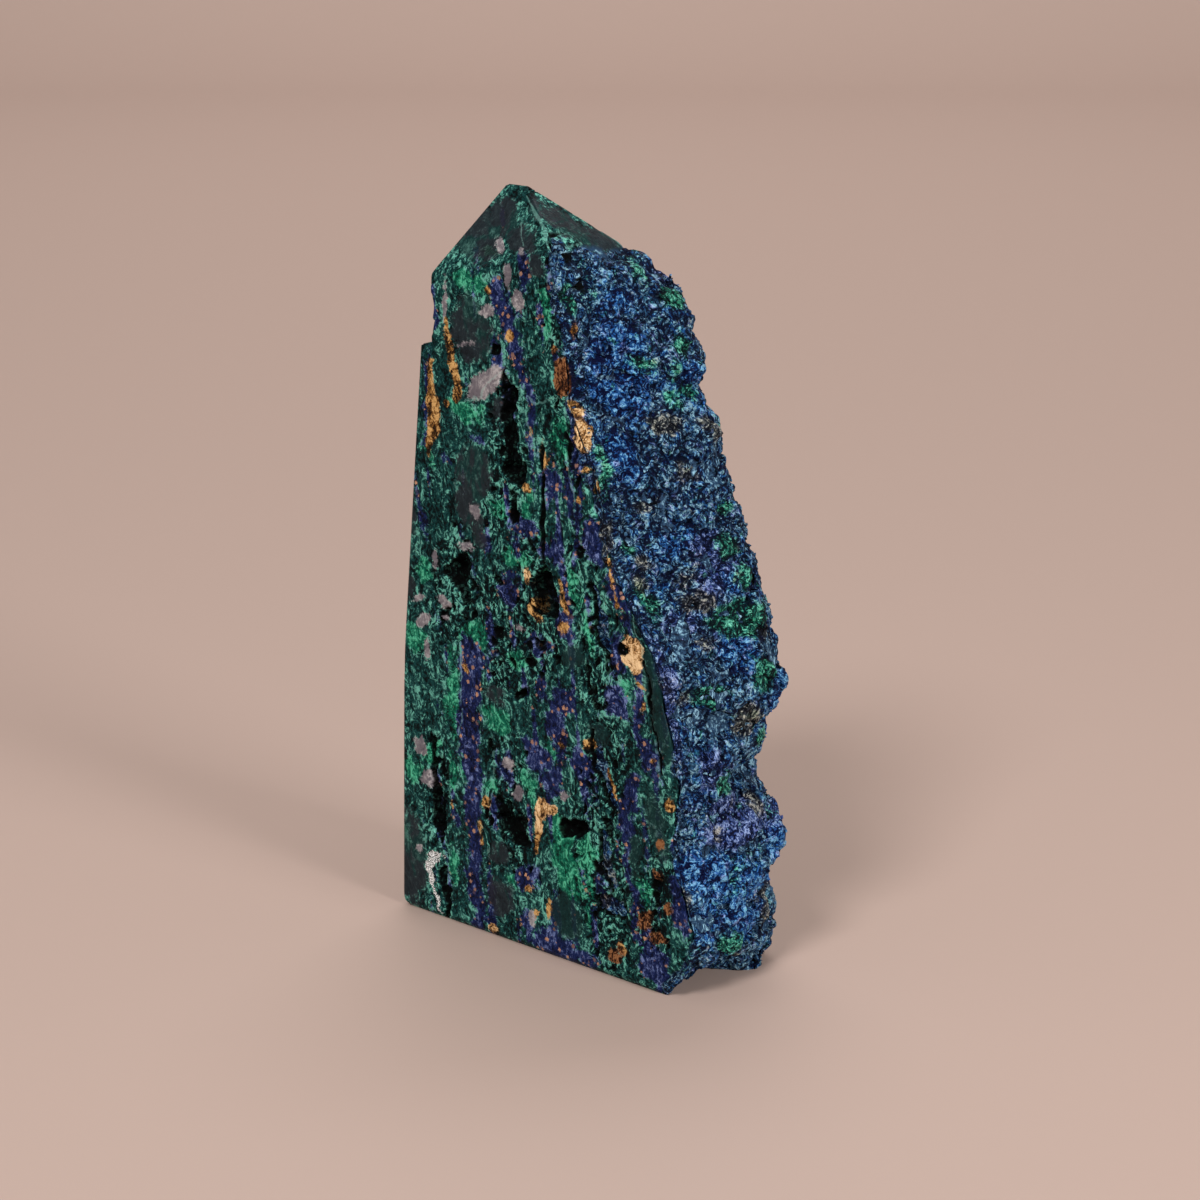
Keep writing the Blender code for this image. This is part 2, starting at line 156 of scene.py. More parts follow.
# What the front face shows. Spots are (u, z, half width, half height, lean if any), veins are runs of
# (u, z, half width), all in millimetres on the face.
AZURITE_SPOTS = (
    (23, 100, 1.9, 2.6, 20), (35.6, 92.4, 1.5, 1.8), (33.6, 73.2, 1.7, 3.6), (37.2, 73, 1.1, 4.4, 6),
    (33, 63.2, 1.9, 1.5), (28.6, 65.8, 2.8, 1.8), (25, 55.4, 2.2, 2.6), (36, 53.6, 1.4, 3), (42.6, 66.2, 2.2, 3.4),
    (46.6, 49.6, 1.8, 3.2), (47, 42.6, 2.4, 3), (36, 40.4, 3, 2.4, 20), (34.4, 36.4, 2.6, 2.6),
    (30.4, 31, 2.6, 2.8, 20), (39.6, 31.4, 2.6, 2.6, 20), (28.4, 11, 2.8, 2.6), (34, 2.6, 4.4, 2.6),
    (40, 1.6, 3.4, 1.6), (54.6, 4.2, 3.4, 3), (56.8, 2.4, 2.2, 1.6), (42.6, 86, 1.6, 4.6, 10), (46.8, 60.4, 2.2, 3.2),
    (31, 48.6, 2.2, 1.3), (28.6, 4, 1.6, 2.2), (52.8, 36, 1.6, 2.8, 20), (21.4, 45.6, 0.9, 0.6),
    (19.6, 77.8, 0.9, 0.6), (12, 74.2, 0.8, 0.8),
)
AZURITE_VEINS = (
    ((24.4, 98.5, 1.2), (26.4, 92, 1.3), (28.8, 87, 1.2), (30.4, 83, 0.8), (30, 79.5, 0.5)),
    ((16.6, 46, 1.6), (16.7, 43, 2.6), (16.5, 38, 2.6), (15.7, 34, 2.7), (16.2, 29, 2.3), (17, 25, 1.9),
     (17, 18, 1.7), (17, 10, 1.6), (17.6, 3, 1.3), (18, -1, 1.2)),
    ((50.4, 32, 1.2), (48.6, 26, 1.2), (48.4, 20, 0.9), (50.4, 14, 0.9), (51.6, 8, 0.8)),
    ((58.6, 24, 0.8), (58.6, 18, 1.3), (60.2, 11, 1.3)),
    ((48.2, 58, 1), (50.2, 54, 0.7), (51.4, 46, 0.8), (51, 38, 0.9)), ((8.6, 100, 0.5), (9.6, 94, 0.4)),
    ((7.6, 81, 0.5), (7.2, 76, 0.6)), ((33, 106, 0.4), (34.2, 99, 0.5)),
    ((39, 62, 0.6), (39.4, 70, 0.8), (40.6, 78, 0.9)), ((12.6, 22, 0.5), (13.4, 17, 0.5)),
)
LIMONITE_SPOTS = (
    (36.3, 89.2, 1.9, 2.9, 10), (38.8, 85.2, 1.4, 1.1), (40, 81.3, 1.9, 2.5, 10), (25.5, 93.8, 0.8, 0.8, 30),
    (21, 100.3, 0.7, 0.6), (38.2, 96.4, 0.45, 1), (34.3, 93.4, 0.5, 0.9), (41.2, 76.3, 1, 0.5), (43, 73.6, 0.5, 1),
    (28.6, 58.6, 0.9, 1.3, 20), (30.4, 53.6, 1.2, 1.9, 30), (36.1, 57, 0.7, 2, 14), (36.3, 52.4, 0.9, 0.8),
    (49.9, 50.7, 2, 2.5, 20), (51.5, 46.2, 1.1, 0.4, -20), (51.9, 43, 0.3, 0.7), (15.5, 42, 0.5, 0.9, 30),
    (20.1, 21.2, 1, 1.2), (53, 11, 1.5, 1.3, 30), (55.2, 8.8, 1.5, 0.8), (57.3, 14, 0.9, 1.1), (55.1, 18.6, 1, 0.7),
    (55.3, 23.2, 0.8, 0.8), (41.6, 35.4, 1.2, 0.8, 20), (35.8, 34.2, 0.8, 0.5), (46.3, 3.9, 1.3, 1.2),
    (33.4, 7.6, 0.6, 1.4), (29, 9.2, 0.7, 0.5), (30.4, 6, 0.6, 0.6), (21.2, 1, 1, 0.6), (39.4, 71.6, 0.7, 0.7),
    (32.3, 77, 0.3, 1.4), (28.2, 71.8, 0.9, 0.5, -30), (18.6, 16, 0.4, 1.6), (53.8, 35.6, 0.5, 0.5),
    (30, 80.6, 0.4, 0.4), (57.6, 29.4, 0.9, 1.1), (12.6, 19.6, 0.4, 0.6), (48.2, 5.2, 1, 0.8), (11.9, 82, 0.5, 0.4),
)
LIMONITE_VEINS = (
    ((8.8, 88.4, 0.4), (8.9, 85, 0.6), (9.2, 82, 1.3), (9.5, 79, 1.5), (8.5, 75.6, 1.1), (8, 73.8, 0.5)),
    ((12.2, 95, 0.3), (12.8, 92, 0.5), (13.6, 88, 0.85), (14.4, 85, 0.85), (13.9, 83, 0.6)),
    ((31.6, 24, 1.1), (30.8, 21, 0.8), (30.6, 16, 0.4)), ((31.4, 23.4, 1), (34, 23.4, 0.9)),
    ((45, 64.6, 0.15), (45.6, 61.4, 0.25), (46.8, 57.2, 0.2)), ((44.6, 31.6, 0.6), (46.6, 28.4, 0.8)),
)
# Where the limonite is pale tan and where it is rust; elsewhere it is ochre
TAN_SPOTS = (
    (38.6, 85, 2.2, 2), (39.8, 81.4, 2.6, 3.2), (32.4, 22.8, 3.6, 3.6), (49.6, 50.6, 3.4, 3.2), (21.2, 1, 2, 1.6),
    (28.6, 58.6, 2, 2.4),
)
RUST_SPOTS = (
    (36.3, 89.2, 3.6, 5.6), (46.3, 3.9, 2.6, 2.4), (54.6, 12, 4.6, 7.6), (55, 20, 3, 5),
)
GREY_SPOTS = (
    (20.2, 86.3, 4.3, 1.8, 30), (22.6, 88.3, 1.3, 1.1), (27, 99.6, 1.3, 1.2), (20.8, 97.3, 1.5, 0.9, 20),
    (24.9, 103, 0.8, 1.6), (23.3, 107.2, 0.9, 1.4), (28.2, 106.4, 0.6, 0.8), (15.6, 91.3, 1.5, 0.3, 14),
    (10.8, 51.6, 1.4, 0.9, -20), (5.6, 51, 1.4, 0.5, 20), (6.6, 48, 1.6, 1, 20), (11.4, 49.2, 0.9, 0.6),
    (9.4, 58, 0.5, 1.4), (16, 61.2, 1.8, 0.5), (5.3, 27.4, 1.7, 1.5), (6.8, 22.4, 1.8, 1.2), (7.3, 43, 0.6, 1.9),
    (24.4, 28.4, 1.6, 1), (26.8, 24.6, 1.3, 1.2), (18, 66.8, 1, 1.2, 30), (12, 97.5, 0.5, 2.8), (29.6, 5.2, 1, 1.3),
    (4.8, 10.4, 0.8, 0.7), (36.4, 26, 1, 0.6, 20), (26.8, 50.4, 1.2, 0.5),
)
BRIGHT_SPOTS = (
    (17.4, 101.2, 3.4, 1.7), (15.8, 81.6, 3.6, 1.6, -10), (36.2, 80.2, 2.6, 3.2), (34.6, 101.4, 1.3, 1.1),
    (32.6, 98, 1.6, 3.6), (28.8, 68.4, 1.2, 2.3, 14), (32.3, 59.2, 1.1, 1.3), (26.4, 61, 2.6, 1.4),
    (17.4, 47.8, 3.2, 2, 24), (4.8, 45, 2.2, 2.6), (12.6, 36.6, 1.2, 6.6), (38.6, 58.6, 0.9, 2.6, 14),
    (43.4, 70.2, 1.1, 1.9, 20), (45.4, 73.2, 0.9, 1.1), (7.8, 27, 2.8, 1.9, 40), (3.6, 23.2, 1.4, 2.2),
    (22, 34.8, 2.6, 1.6), (28.8, 26.6, 0.9, 3, 24), (35.4, 18.4, 2.8, 4.4), (38.6, 13.8, 4, 3.4),
    (41.4, 18.6, 2, 3.4), (25.2, 9.8, 1.6, 0.9), (12.6, 9.6, 1.2, 3.6), (20.6, 24.2, 1.5, 1), (37.4, 3.8, 1.1, 0.8),
    (53.2, 6.4, 1.2, 1.8, 30), (8, 75.6, 1.2, 2.6, 20), (21.2, 105.9, 1, 0.7), (15.2, 26.2, 1, 2.4),
    (26.4, 45.4, 2, 1.4), (49, 44.6, 0.8, 1.4), (41, 52, 0.8, 3, 20), (6.8, 55.4, 1.6, 1.6),
    (23.6, 68, 2.4, 1.4, -20), (34, 33.4, 1.4, 1), (1.8, 12.6, 1, 1.6), (12.6, 24, 0.8, 2.8), (31.6, 64.6, 0.9, 1),
    (52.4, 15, 1.2, 3, 10), (42, 9, 1, 3),
)
DARK_SPOTS = (
    (17.4, 93.8, 4.2, 5), (22.8, 82.4, 1.5, 2, -16), (17.8, 72.6, 4, 4, -30), (16.4, 67.4, 2.8, 3.4),
    (17.6, 109.4, 6.6, 4.4, -30), (24.4, 112, 3.2, 3.2), (3, 8, 3.6, 7.6), (22.6, 14, 2, 1.8), (36.8, 7.6, 3.2, 3.4),
    (22.4, 6.6, 2.8, 3), (55.2, 44, 2.6, 9, 16), (54.8, 26, 2, 5, 14), (53.6, 55.4, 1.4, 3.6, 20), (38.4, 48, 2.4, 2),
    (3.2, 64, 1.8, 7), (22, 39, 1.8, 1.6), (12.6, 107, 1.6, 2), (19, 64, 1.6, 2.4), (2.4, 52.8, 1.6, 2.6),
    (50.6, 20.6, 1.4, 2.6), (43.4, 37.6, 2.2, 1.6), (28, 108.6, 3.4, 2.6), (45, 87.4, 1, 4, 8),
    (36.2, 112.8, 4.6, 2.2, -18), (41.2, 111.4, 4, 2, -18), (31, 105, 1.6, 2), (31, 113.6, 1.2, 2, 40),
)
# Thin pale lines where two minerals meet, and the cracks, which are pressed in and filled with painted shade that makes
# them black
PALE_VEINS = (
    ((28.7, 115.4, 0.2), (31.4, 112.4, 0.3), (33.3, 109.9, 0.3), (34.2, 106.4, 0.25), (33.2, 103, 0.2)),
    ((36, 108.6, 0.2), (40, 109.6, 0.25), (44, 109.4, 0.2)), ((28.2, 111, 0.15), (28.6, 107.4, 0.2)),
    ((14.6, 83, 0.15), (18.6, 84, 0.2), (24.6, 90.4, 0.2)), ((25.6, 84.6, 0.2), (28.6, 83, 0.2), (30.4, 79.6, 0.2)),
    ((27, 86, 0.2), (31, 84.6, 0.2), (35.6, 86.4, 0.2)), ((31, 96, 0.2), (34.6, 95.4, 0.2), (35.6, 91.8, 0.2)),
    ((14.6, 46, 0.2), (14.4, 36, 0.2), (13.6, 28, 0.2)), ((36.6, 86, 0.15), (37.2, 78, 0.2), (38.4, 70, 0.2)),
    ((20.6, 40, 0.15), (21.4, 30, 0.2), (20.4, 20, 0.2)), ((50, 60, 0.2), (52.6, 46, 0.2), (56, 30, 0.2)),
)
CRACKS = (
    ((33.6, 108.4, 0.3), (34.8, 104.6, 0.35), (35.2, 101.4, 0.3), (36.5, 99.4, 0.5), (36.8, 95.6, 0.5),
     (36, 92.4, 0.25)),
    ((37.6, 92, 0.25), (38.4, 86.8, 0.3), (38.8, 83.4, 0.25)),
    ((41.6, 78.4, 0.35), (42.8, 74.8, 0.35), (43.6, 70.8, 0.25)),
    ((52.2, 50, 0.25), (53.6, 42, 0.3), (55.6, 34, 0.25)),
)
QUARTZ_VEINS = (
    ((9.4, 10.2, 0.4), (7.6, 9.2, 0.55), (7, 7, 0.5), (7.6, 4.6, 0.4), (8.8, 2.4, 0.35), (9.6, 0.8, 0.3)),
)
# Where the face is curly and porous; elsewhere it is calmer
POROUS_VEINS = (
    ((24, 84, 2.4), (25, 76, 3.4), (22, 66, 2.6)), ((30, 62, 3), (31, 48, 4.4)),
    ((39, 64, 2.4), (42, 54, 3), (44, 44, 3.6)), ((24, 30, 3.2), (25, 16, 4)),
    ((45, 36, 3.2), (42, 24, 4.2), (46, 6, 4.2)), ((14, 60, 3.8), (13, 50, 4)), ((22, 54, 2.6), (24, 43, 3.2)),
    ((36, 86, 2.4), (38, 76, 2.2)), ((38, 108, 4), (34, 96, 3)), ((9, 28, 2), (9, 12, 2.2)),
    ((55, 20, 2.4), (54, 8, 2.6)),
)

# Patches on the natural side: (d, z, half depth, half height)
CRUST_GREEN = (
    (17.6, 92.2, 1.5, 1.2), (11, 90.5, 1.5, 1.2), (14.5, 85.5, 1, 1.9), (17.8, 86, 1.4, 1.3), (18.1, 99.1, 2.2, 1.8),
    (7.4, 44.5, 2.7, 1.3), (16.8, 46.6, 2.3, 2.6), (10.4, 30.6, 3.2, 1.7), (15, 54.3, 5.4, 2.4),
    (17.7, 69.7, 1.2, 0.9), (15.8, 64.7, 1.9, 1.5), (17.4, 60.3, 2.2, 2.2), (3.3, 65.1, 1, 1), (2, 100, 1.4, 2),
    (19.6, 36, 1.6, 2), (3.6, 58, 1.2, 2), (8.6, 7.6, 2.2, 1.6), (1.6, 76, 0.9, 3),
)
CRUST_BROWN = (
    (11.4, 81.8, 2.4, 1.6), (12.7, 75.2, 1.7, 1.2), (6.8, 71.1, 1.4, 1), (14.7, 39.6, 2.7, 2.9), (19, 80.4, 1.6, 1.6),
    (18.4, 10.1, 1.7, 3.7), (9.6, 57.6, 2.2, 1.4), (17.4, 26, 1.6, 2), (5, 63, 1.2, 1.4),
)
CRUST_PURPLE = (
    (11, 25.3, 5.9, 4.4), (0.9, 44.3, 1.6, 8.1), (14, 64, 3, 3), (6, 34, 2.4, 3),
)
CRUST_VIVID = (
    (7.6, 89.8, 4.3, 7.4), (4.5, 43.5, 1.5, 1), (6.8, 19.2, 5.9, 4.8), (18.4, 20.6, 1.8, 4.4), (16.5, 87.6, 3.7, 2.9),
    (4, 12, 3, 4), (5, 78, 2.6, 4), (12, 13, 5, 6), (13, 50, 3, 3.4),
)


def in_frame(points):
    """Places (u, d, z) in millimetres as points of the frame in metres: the origin is the middle of the foot."""
    return (points - np.array([FOOT_WIDTH / 2, THICKNESS / 2, 0.0])) * MM


def lattice_value(corner, seed):
    """A fixed pseudo-random number from -1 to 1 for each integer lattice corner."""
    mixed = corner[..., 0] * 73856093 ^ corner[..., 1] * 19349663 ^ corner[..., 2] * 83492791 ^ seed * 2654435
    for _ in range(2):
        mixed = (mixed & 0x7FFFFFFF) * 1103515245 + 12345
        mixed = mixed ^ (mixed >> 15)
    return (mixed & 0xFFFFFF) / float(0x7FFFFF) - 1.0


def noise(points, cell, seed):
    """Smooth noise from -1 to 1: lattice values at a spacing of cell, blended by 3t^2 - 2t^3 along each axis."""
    scaled = np.asarray(points, float) / cell
    base = np.floor(scaled)
    blend = scaled - base
    blend = blend * blend * (3 - 2 * blend)
    base = base.astype(np.int64)
    total = np.zeros(scaled.shape[:-1])
    for corner in np.ndindex(2, 2, 2):
        share = np.prod(np.where(np.array(corner) == 1, blend, 1 - blend), axis=-1)
        total += share * lattice_value(base + np.array(corner), seed)
    return total


def at_height(first, second, layer):
    """The points (first, second, layer) for arrays of the first two."""
    return np.stack(np.broadcast_arrays(first * 1.0, second * 1.0, 0.0 * second + layer), axis=-1)


def cell_values(own, seed, count):
    """Some pseudo-random numbers from -1 to 1 for each square cell."""
    layers = (np.full(own[..., :1].shape, layer) for layer in range(count))
    return [lattice_value(np.concatenate([own, layer], axis=-1), seed) for layer in layers]


def grains(points, cell, seed):
    """Flat-faced grains, from about -1 to 1: a point takes the height of a tilted plane belonging to the nearest
    of a scatter of centres, one in each square cell."""
    flat = np.asarray(points, float)[..., :2] / cell
    base = np.floor(flat).astype(np.int64)
    nearest = np.full(flat.shape[:-1], np.inf)
    height = np.zeros(flat.shape[:-1])
    for shift in np.ndindex(3, 3):
        own = base + np.array(shift) - 1
        values = cell_values(own, seed, 5)
        away = flat - own - 0.5 - 0.42 * np.stack(values[:2], axis=-1)
        distance = (away ** 2).sum(axis=-1)
        plane = 0.5 * values[2] + 0.8 * (away[..., 0] * values[3] + away[..., 1] * values[4])
        height = np.where(distance < nearest, plane, height)
        nearest = np.minimum(distance, nearest)
    return height


def crystal_grains(points, cell, seed):
    """Grains in space: the height of a tilted plane of the nearest scattered centre, one to each cubic cell, sunk
    by the square of the distance from it. Also gives how much nearer that centre is than the next one, and a round
    knob on every centre, 0.5 less the square of the distance."""
    scaled = np.asarray(points, float) / cell
    base = np.floor(scaled).astype(np.int64)
    nearest = np.full(scaled.shape[:-1], np.inf)
    second = np.full(scaled.shape[:-1], np.inf)
    height = np.zeros(scaled.shape[:-1])
    for shift in np.ndindex(3, 3, 3):
        own = base + np.array(shift) - 1
        values = [lattice_value(own, seed + layer) for layer in range(7)]
        away = scaled - own - 0.5 - 0.42 * np.stack(values[:3], axis=-1)
        distance = (away ** 2).sum(axis=-1)
        tilt = sum(away[..., axis] * values[4 + axis] for axis in range(3))
        closer = distance < nearest
        second = np.where(closer, nearest, np.minimum(second, distance))
        height = np.where(closer, 0.5 * values[3] + 0.9 * tilt - 0.9 * distance, height)
        nearest = np.where(closer, distance, nearest)
    return height, np.sqrt(second) - np.sqrt(nearest), 0.5 - nearest


def crust_u(d, z):
    """How far out the natural side reaches at depth d and height z: the two outlines blended by depth, bulged
    between them, rounded off towards the back, arched over the table, with lumps of two sizes and grains."""
    share = np.clip(d / CRUST_BACK_D, 0, 1)
    share = share * share * (3 - 2 * share)
    front = np.interp(z, list(CRUST_FRONT_EDGE), list(CRUST_FRONT_EDGE.values()))
    back = np.interp(z, list(CRUST_BACK_EDGE), list(CRUST_BACK_EDGE.values()))
    reach = front * (1 - share) + back * share + 0.9 * np.sin(math.pi * share)
    reach = reach - 9.0 * (np.clip(d - 18.5, 0, None) / 8.0) ** 2
    arch = np.exp(-((z / ARCH_HEIGHT) ** 2)) * np.exp(-(((d - ARCH_D) / ARCH_HALF_WIDTH) ** 4))
    at = at_height(d, z, 0.0)
    inside = np.clip(d / 1.5, 0, 1)
    lumps = 0.55 * noise(at, 7.0, 1) + 0.45 * noise(at, 3.4, 2) + 0.75 * grains(at, 2.9, 3)
    return reach - ARCH_REACH * arch + lumps * (0.3 + 0.7 * inside)


def left_u(d, z):
    """The natural surface on the left: far outside the ground face but for one hollow near the top."""
    low, high = LEFT_HOLLOW_Z
    at = at_height(d, z, 5.0)
    within = np.clip((z - low - 0.8 * noise(at, 4.0, 7)) / 2.2, 0, 1) * np.clip((high - z) / 2.0, 0, 1)
    within = within * np.clip((LEFT_HOLLOW_D - d + 3.0 * noise(at, 6.0, 4)) / 3.0, 0, 1)
    hollow = LEFT_HOLLOW_U + 0.5 * noise(at, 3.0, 5) + 0.6 * grains(at, 2.6, 8)
    return -6.0 * (1 - within) + hollow * within


def ground_back(z):
    """The depth of the back's ground face at height z."""
    return THICKNESS - z * math.tan(math.radians(90.0 - BACK_SLOPE))


def back_d(u, z):
    """The natural surface at the back: outside the ground face but for one bay beside the crust."""
    wide, tall = BACK_BAY_SIZE
    at = at_height(u, z, 9.0)
    middle = BACK_BAY_U - BACK_BAY_LEAN * (z - BACK_BAY_Z)
    bay = np.exp(-(((u - middle) / wide) ** 2) - ((z - BACK_BAY_Z) / tall) ** 2)
    return ground_back(z) + 1.6 - BACK_BAY_DEPTH * bay - 0.6 * noise(at, 6.0, 6) - 0.45 * grains(at, 2.8, 9)


class Relief:
    """Heights of one natural surface worked out once on a square grid, then read between its points by bilinear
    blending."""

    def __init__(self, surface, first, second, step=0.2):
        self.start, self.step = (first[0], second[0]), step
        a, b = np.meshgrid(np.arange(*first, step), np.arange(*second, step), indexing="ij")
        self.height = surface(a, b)

    def __call__(self, a, b):
        rows, columns = self.height.shape
        x = np.clip((a - self.start[0]) / self.step, 0, rows - 1.001)
        y = np.clip((b - self.start[1]) / self.step, 0, columns - 1.001)
        i, j = x.astype(int), y.astype(int)
        s, t = x - i, y - j
        low = self.height[i, j] * (1 - s) + self.height[i + 1, j] * s
        high = self.height[i, j + 1] * (1 - s) + self.height[i + 1, j + 1] * s
        return low * (1 - t) + high * t


NATURAL = {
    "right": Relief(crust_u, (-2.0, 30.0), (-1.0, 117.0)),
    "back": Relief(back_d, (-5.0, 68.0), (-1.0, 117.0)),
    "left": Relief(left_u, (-2.0, 30.0), (-1.0, 117.0)),
}


def beyond_sides(u, d, z):
    """For each side of the stone, how far a place lies beyond its surfaces, in millimetres: the plane distances of
    the ground faces and the heights over the natural surfaces."""
    found = {}
    for side, planes in GROUND.items():
        found[side] = []
        for heading, slope, point in planes:
            level, steep = math.radians(heading), math.radians(slope)
            normal = (math.cos(level) * math.sin(steep), math.sin(level) * math.sin(steep), math.cos(steep))
            away = (u - point[0]) * normal[0] + (d - point[1]) * normal[1] + (z - point[2]) * normal[2]
            found[side].append(away)
    found["right"].append(u - NATURAL["right"](d, z))
    found["back"].append(d - NATURAL["back"](u, z))
    found["left"].append(NATURAL["left"](d, z) - u)
    return found


def beyond(u, d, z):
    """How far a place lies beyond the whole stone: k log sum exp of all distances over k, which rounds the edges."""
    sides = beyond_sides(u, d, z).values()
    total = sum(np.exp(np.clip(away / EDGE_ROUNDING, -40, 400)) for side in sides for away in side)
    return EDGE_ROUNDING * np.log(total + 1e-30)


def axis_at(z):
    """The leaning axis that every row's rays start from."""
    lean = np.clip(z / TIP_HEIGHT, 0, 1)
    return FOOT_WIDTH / 2 * (1 - lean) + AXIS_TOP[0] * lean, THICKNESS / 2 * (1 - lean) + AXIS_TOP[1] * lean


def surface_at(angle, z):
    """Where rays from the axis at an angle in plan leave the stone, found by halving."""
    axis_u, axis_d = axis_at(z)
    low, high = np.zeros_like(angle), np.full_like(angle, FAR_OUT)
    for _ in range(HALVINGS):
        middle = (low + high) / 2
        outside = beyond(axis_u + middle * np.cos(angle), axis_d + middle * np.sin(angle), z) > 0
        high, low = np.where(outside, middle, high), np.where(outside, low, middle)
    reach = (low + high) / 2
    return np.stack([axis_u + reach * np.cos(angle), axis_d + reach * np.sin(angle), z], axis=-1)


def row_outlines(rows):
    """The outline of each row by RAYS rays, starting in the middle of the left side, with the angles of its four
    corners: where the next side's surface takes over, looked for from a ray on, smoothed over three rows."""
    angle, z = np.meshgrid(np.linspace(-math.pi, math.pi, RAYS + 1), rows)
    outline = surface_at(angle, z)
    sides = beyond_sides(outline[..., 0], outline[..., 1], z)
    reach = {side: np.max(values, axis=0) for side, values in sides.items()}
    corners = []
    turns_over = (("left", "front", 0), ("front", "right", 180), ("right", "back", 300), ("back", "left", 540))
    for this, after, start in turns_over:
        gap = reach[after] - reach[this]
        past = np.cumsum(gap > 0, axis=1)
        gap, past = gap[:, start:], past[:, start:] - past[:, start : start + 1]
        first = np.argmax(past > 0, axis=1)
        first = np.where(past[:, -1] > 0, np.maximum(first, 1), gap.shape[1] - 1)
        row = np.arange(len(rows))
        before, here = gap[row, first - 1], gap[row, first]
        part = np.clip(before / (before - here + 1e-12), 0, 1)
        corners.append(angle[0, start + first - 1] + part * (angle[0, 1] - angle[0, 0]))
    corners = np.array(corners)
    padded = np.pad(corners, ((0, 0), (1, 1)), mode="edge")
    return angle, outline, (padded[:, :-2] + 2 * corners + padded[:, 2:]) / 4


def angles_along(angle, outline, start, end, shares):
    """Angles that divide the outline of each row, from angle start to angle end, at the given shares of its
    length."""
    step = np.linalg.norm(np.diff(outline[..., :2], axis=1), axis=-1)
    run = np.concatenate([np.zeros((len(step), 1)), np.cumsum(step, axis=1)], axis=1)
    found = np.empty((len(step), len(shares)))
    for row in range(len(step)):
        ends = np.interp([start[row], end[row]], angle[row], run[row])
        found[row] = np.interp(ends[0] + (ends[1] - ends[0]) * shares, run[row], angle[row])
    return found


def grid_normals(points, closed=True):
    """Outward unit normals of a grid of points: the cross product of the differences along its two directions."""
    if closed:
        around = np.roll(points, -1, axis=1) - np.roll(points, 1, axis=1)
    else:
        around = np.gradient(points, axis=1)
    normal = np.cross(around, np.gradient(points, axis=0))
    return normal / np.maximum(np.linalg.norm(normal, axis=-1, keepdims=True), 1e-9)


def spot_field(u, z, spots):
    """How far inside the nearest of some leaning ellipses a place lies, in millimetres, negative outside."""
    field = np.full(u.shape, -9.0)
    for spot_u, spot_z, wide, tall, *lean in spots:
        turn = math.radians(lean[0] if lean else 0.0)
        across = ((u - spot_u) * math.cos(turn) + (z - spot_z) * math.sin(turn)) / wide
        along = ((z - spot_z) * math.cos(turn) - (u - spot_u) * math.sin(turn)) / tall
        field = np.maximum(field, (1 - np.sqrt(across ** 2 + along ** 2)) * min(wide, tall))
    return field


def vein_field(u, z, veins):
    """How far inside the nearest of some veins a place lies: the half width less the distance to its line."""
    field = np.full(u.shape, -9.0)
    for vein in veins:
        for (u0, z0, half0), (u1, z1, half1) in zip(vein, vein[1:]):
            run_u, run_z = u1 - u0, z1 - z0
            share = np.clip(((u - u0) * run_u + (z - z0) * run_z) / (run_u ** 2 + run_z ** 2), 0, 1)
            distance = np.hypot(u - u0 - share * run_u, z - z0 - share * run_z)
            field = np.maximum(field, half0 + (half1 - half0) * share - distance)
    return field


def as_share(field, span=2.4):
    """A field in millimetres as a share from 0 to 1 whose edge lies at a half."""
    return np.clip(0.5 + field / span, 0, 1)


def vug_field(u, z, vugs, seed, wall=0.45):
    """Depth of the cavities and the nearness to their rims: each is a leaning ellipse with a ragged edge, walls that
    fall within the given width and a lumpy floor, crossed by thin strands, which are counted as rims."""
    at = at_height(u, z * 0.7, float(seed))
    ragged = 0.9 * noise(at, 2.6, seed) + 0.7 * noise(at, 1.2, seed + 1) + 0.4 * noise(at, 0.6, seed + 3)
    floor = 0.7 + 0.3 * noise(at, 1.3, seed + 2) + 0.12 * noise(at, 0.6, seed + 4)
    strand = np.exp(-((noise(at, 1.7, seed + 6) / 0.10) ** 2)) * np.clip(0.4 + 1.8 * noise(at, 2.2, seed + 7), 0, 1)
    depth, rim = np.zeros(u.shape), np.zeros(u.shape)
    for vug_u, vug_z, wide, tall, deep, lean in vugs:
        half = min(wide, tall) / 2
        field = spot_field(u, z, ((vug_u, vug_z, wide * 0.56, tall * 0.54, lean),))
        field = field + np.maximum(ragged * min(0.25 + 0.4 * half, 1.2), -0.4 * half)
        inside = np.clip(field / wall, 0, 1)
        depth = np.maximum(depth, deep * floor * inside * (1 - 0.85 * strand))
        rim = np.maximum(rim, np.maximum(np.exp(-(((field + 0.2) / 0.25) ** 2)), 0.7 * strand * inside))
    return depth, rim


def pit_field(u, z, cell, share, deep, seed):
    """Small pits: round hollows about scattered centres, kept only where the share of pores allows. Gives their
    depth and the nearness to their rims."""
    at = at_height(u, z, 3.0)
    bent_u = u + 0.5 * cell * noise(at, cell * 1.1, seed + 5) + 0.22 * cell * noise(at, cell * 0.5, seed + 6)
    bent_z = z * 0.75 + 0.5 * cell * noise(at, cell * 1.1, seed + 7) + 0.22 * cell * noise(at, cell * 0.5, seed + 8)
    flat = np.stack([bent_u, bent_z], axis=-1) / cell
    base = np.floor(flat).astype(np.int64)
    depth, rim = np.zeros(u.shape), np.zeros(u.shape)
    for shift in np.ndindex(3, 3):
        own = base + np.array(shift) - 1
        values = cell_values(own, seed, 4)
        away = flat - own - 0.5 - 0.42 * np.stack(values[:2], axis=-1)
        radius = 0.30 + 0.18 * values[2]
        distance = np.sqrt((away ** 2).sum(axis=-1))
        keep = np.clip((share * 2 - 1 - values[3]) * 4, 0, 1)
        depth = np.maximum(depth, keep * deep * np.clip((radius - distance) / 0.16, 0, 1))
        rim = np.maximum(rim, keep * np.exp(-(((distance - radius - 0.02) / 0.11) ** 2)))
    return depth, rim


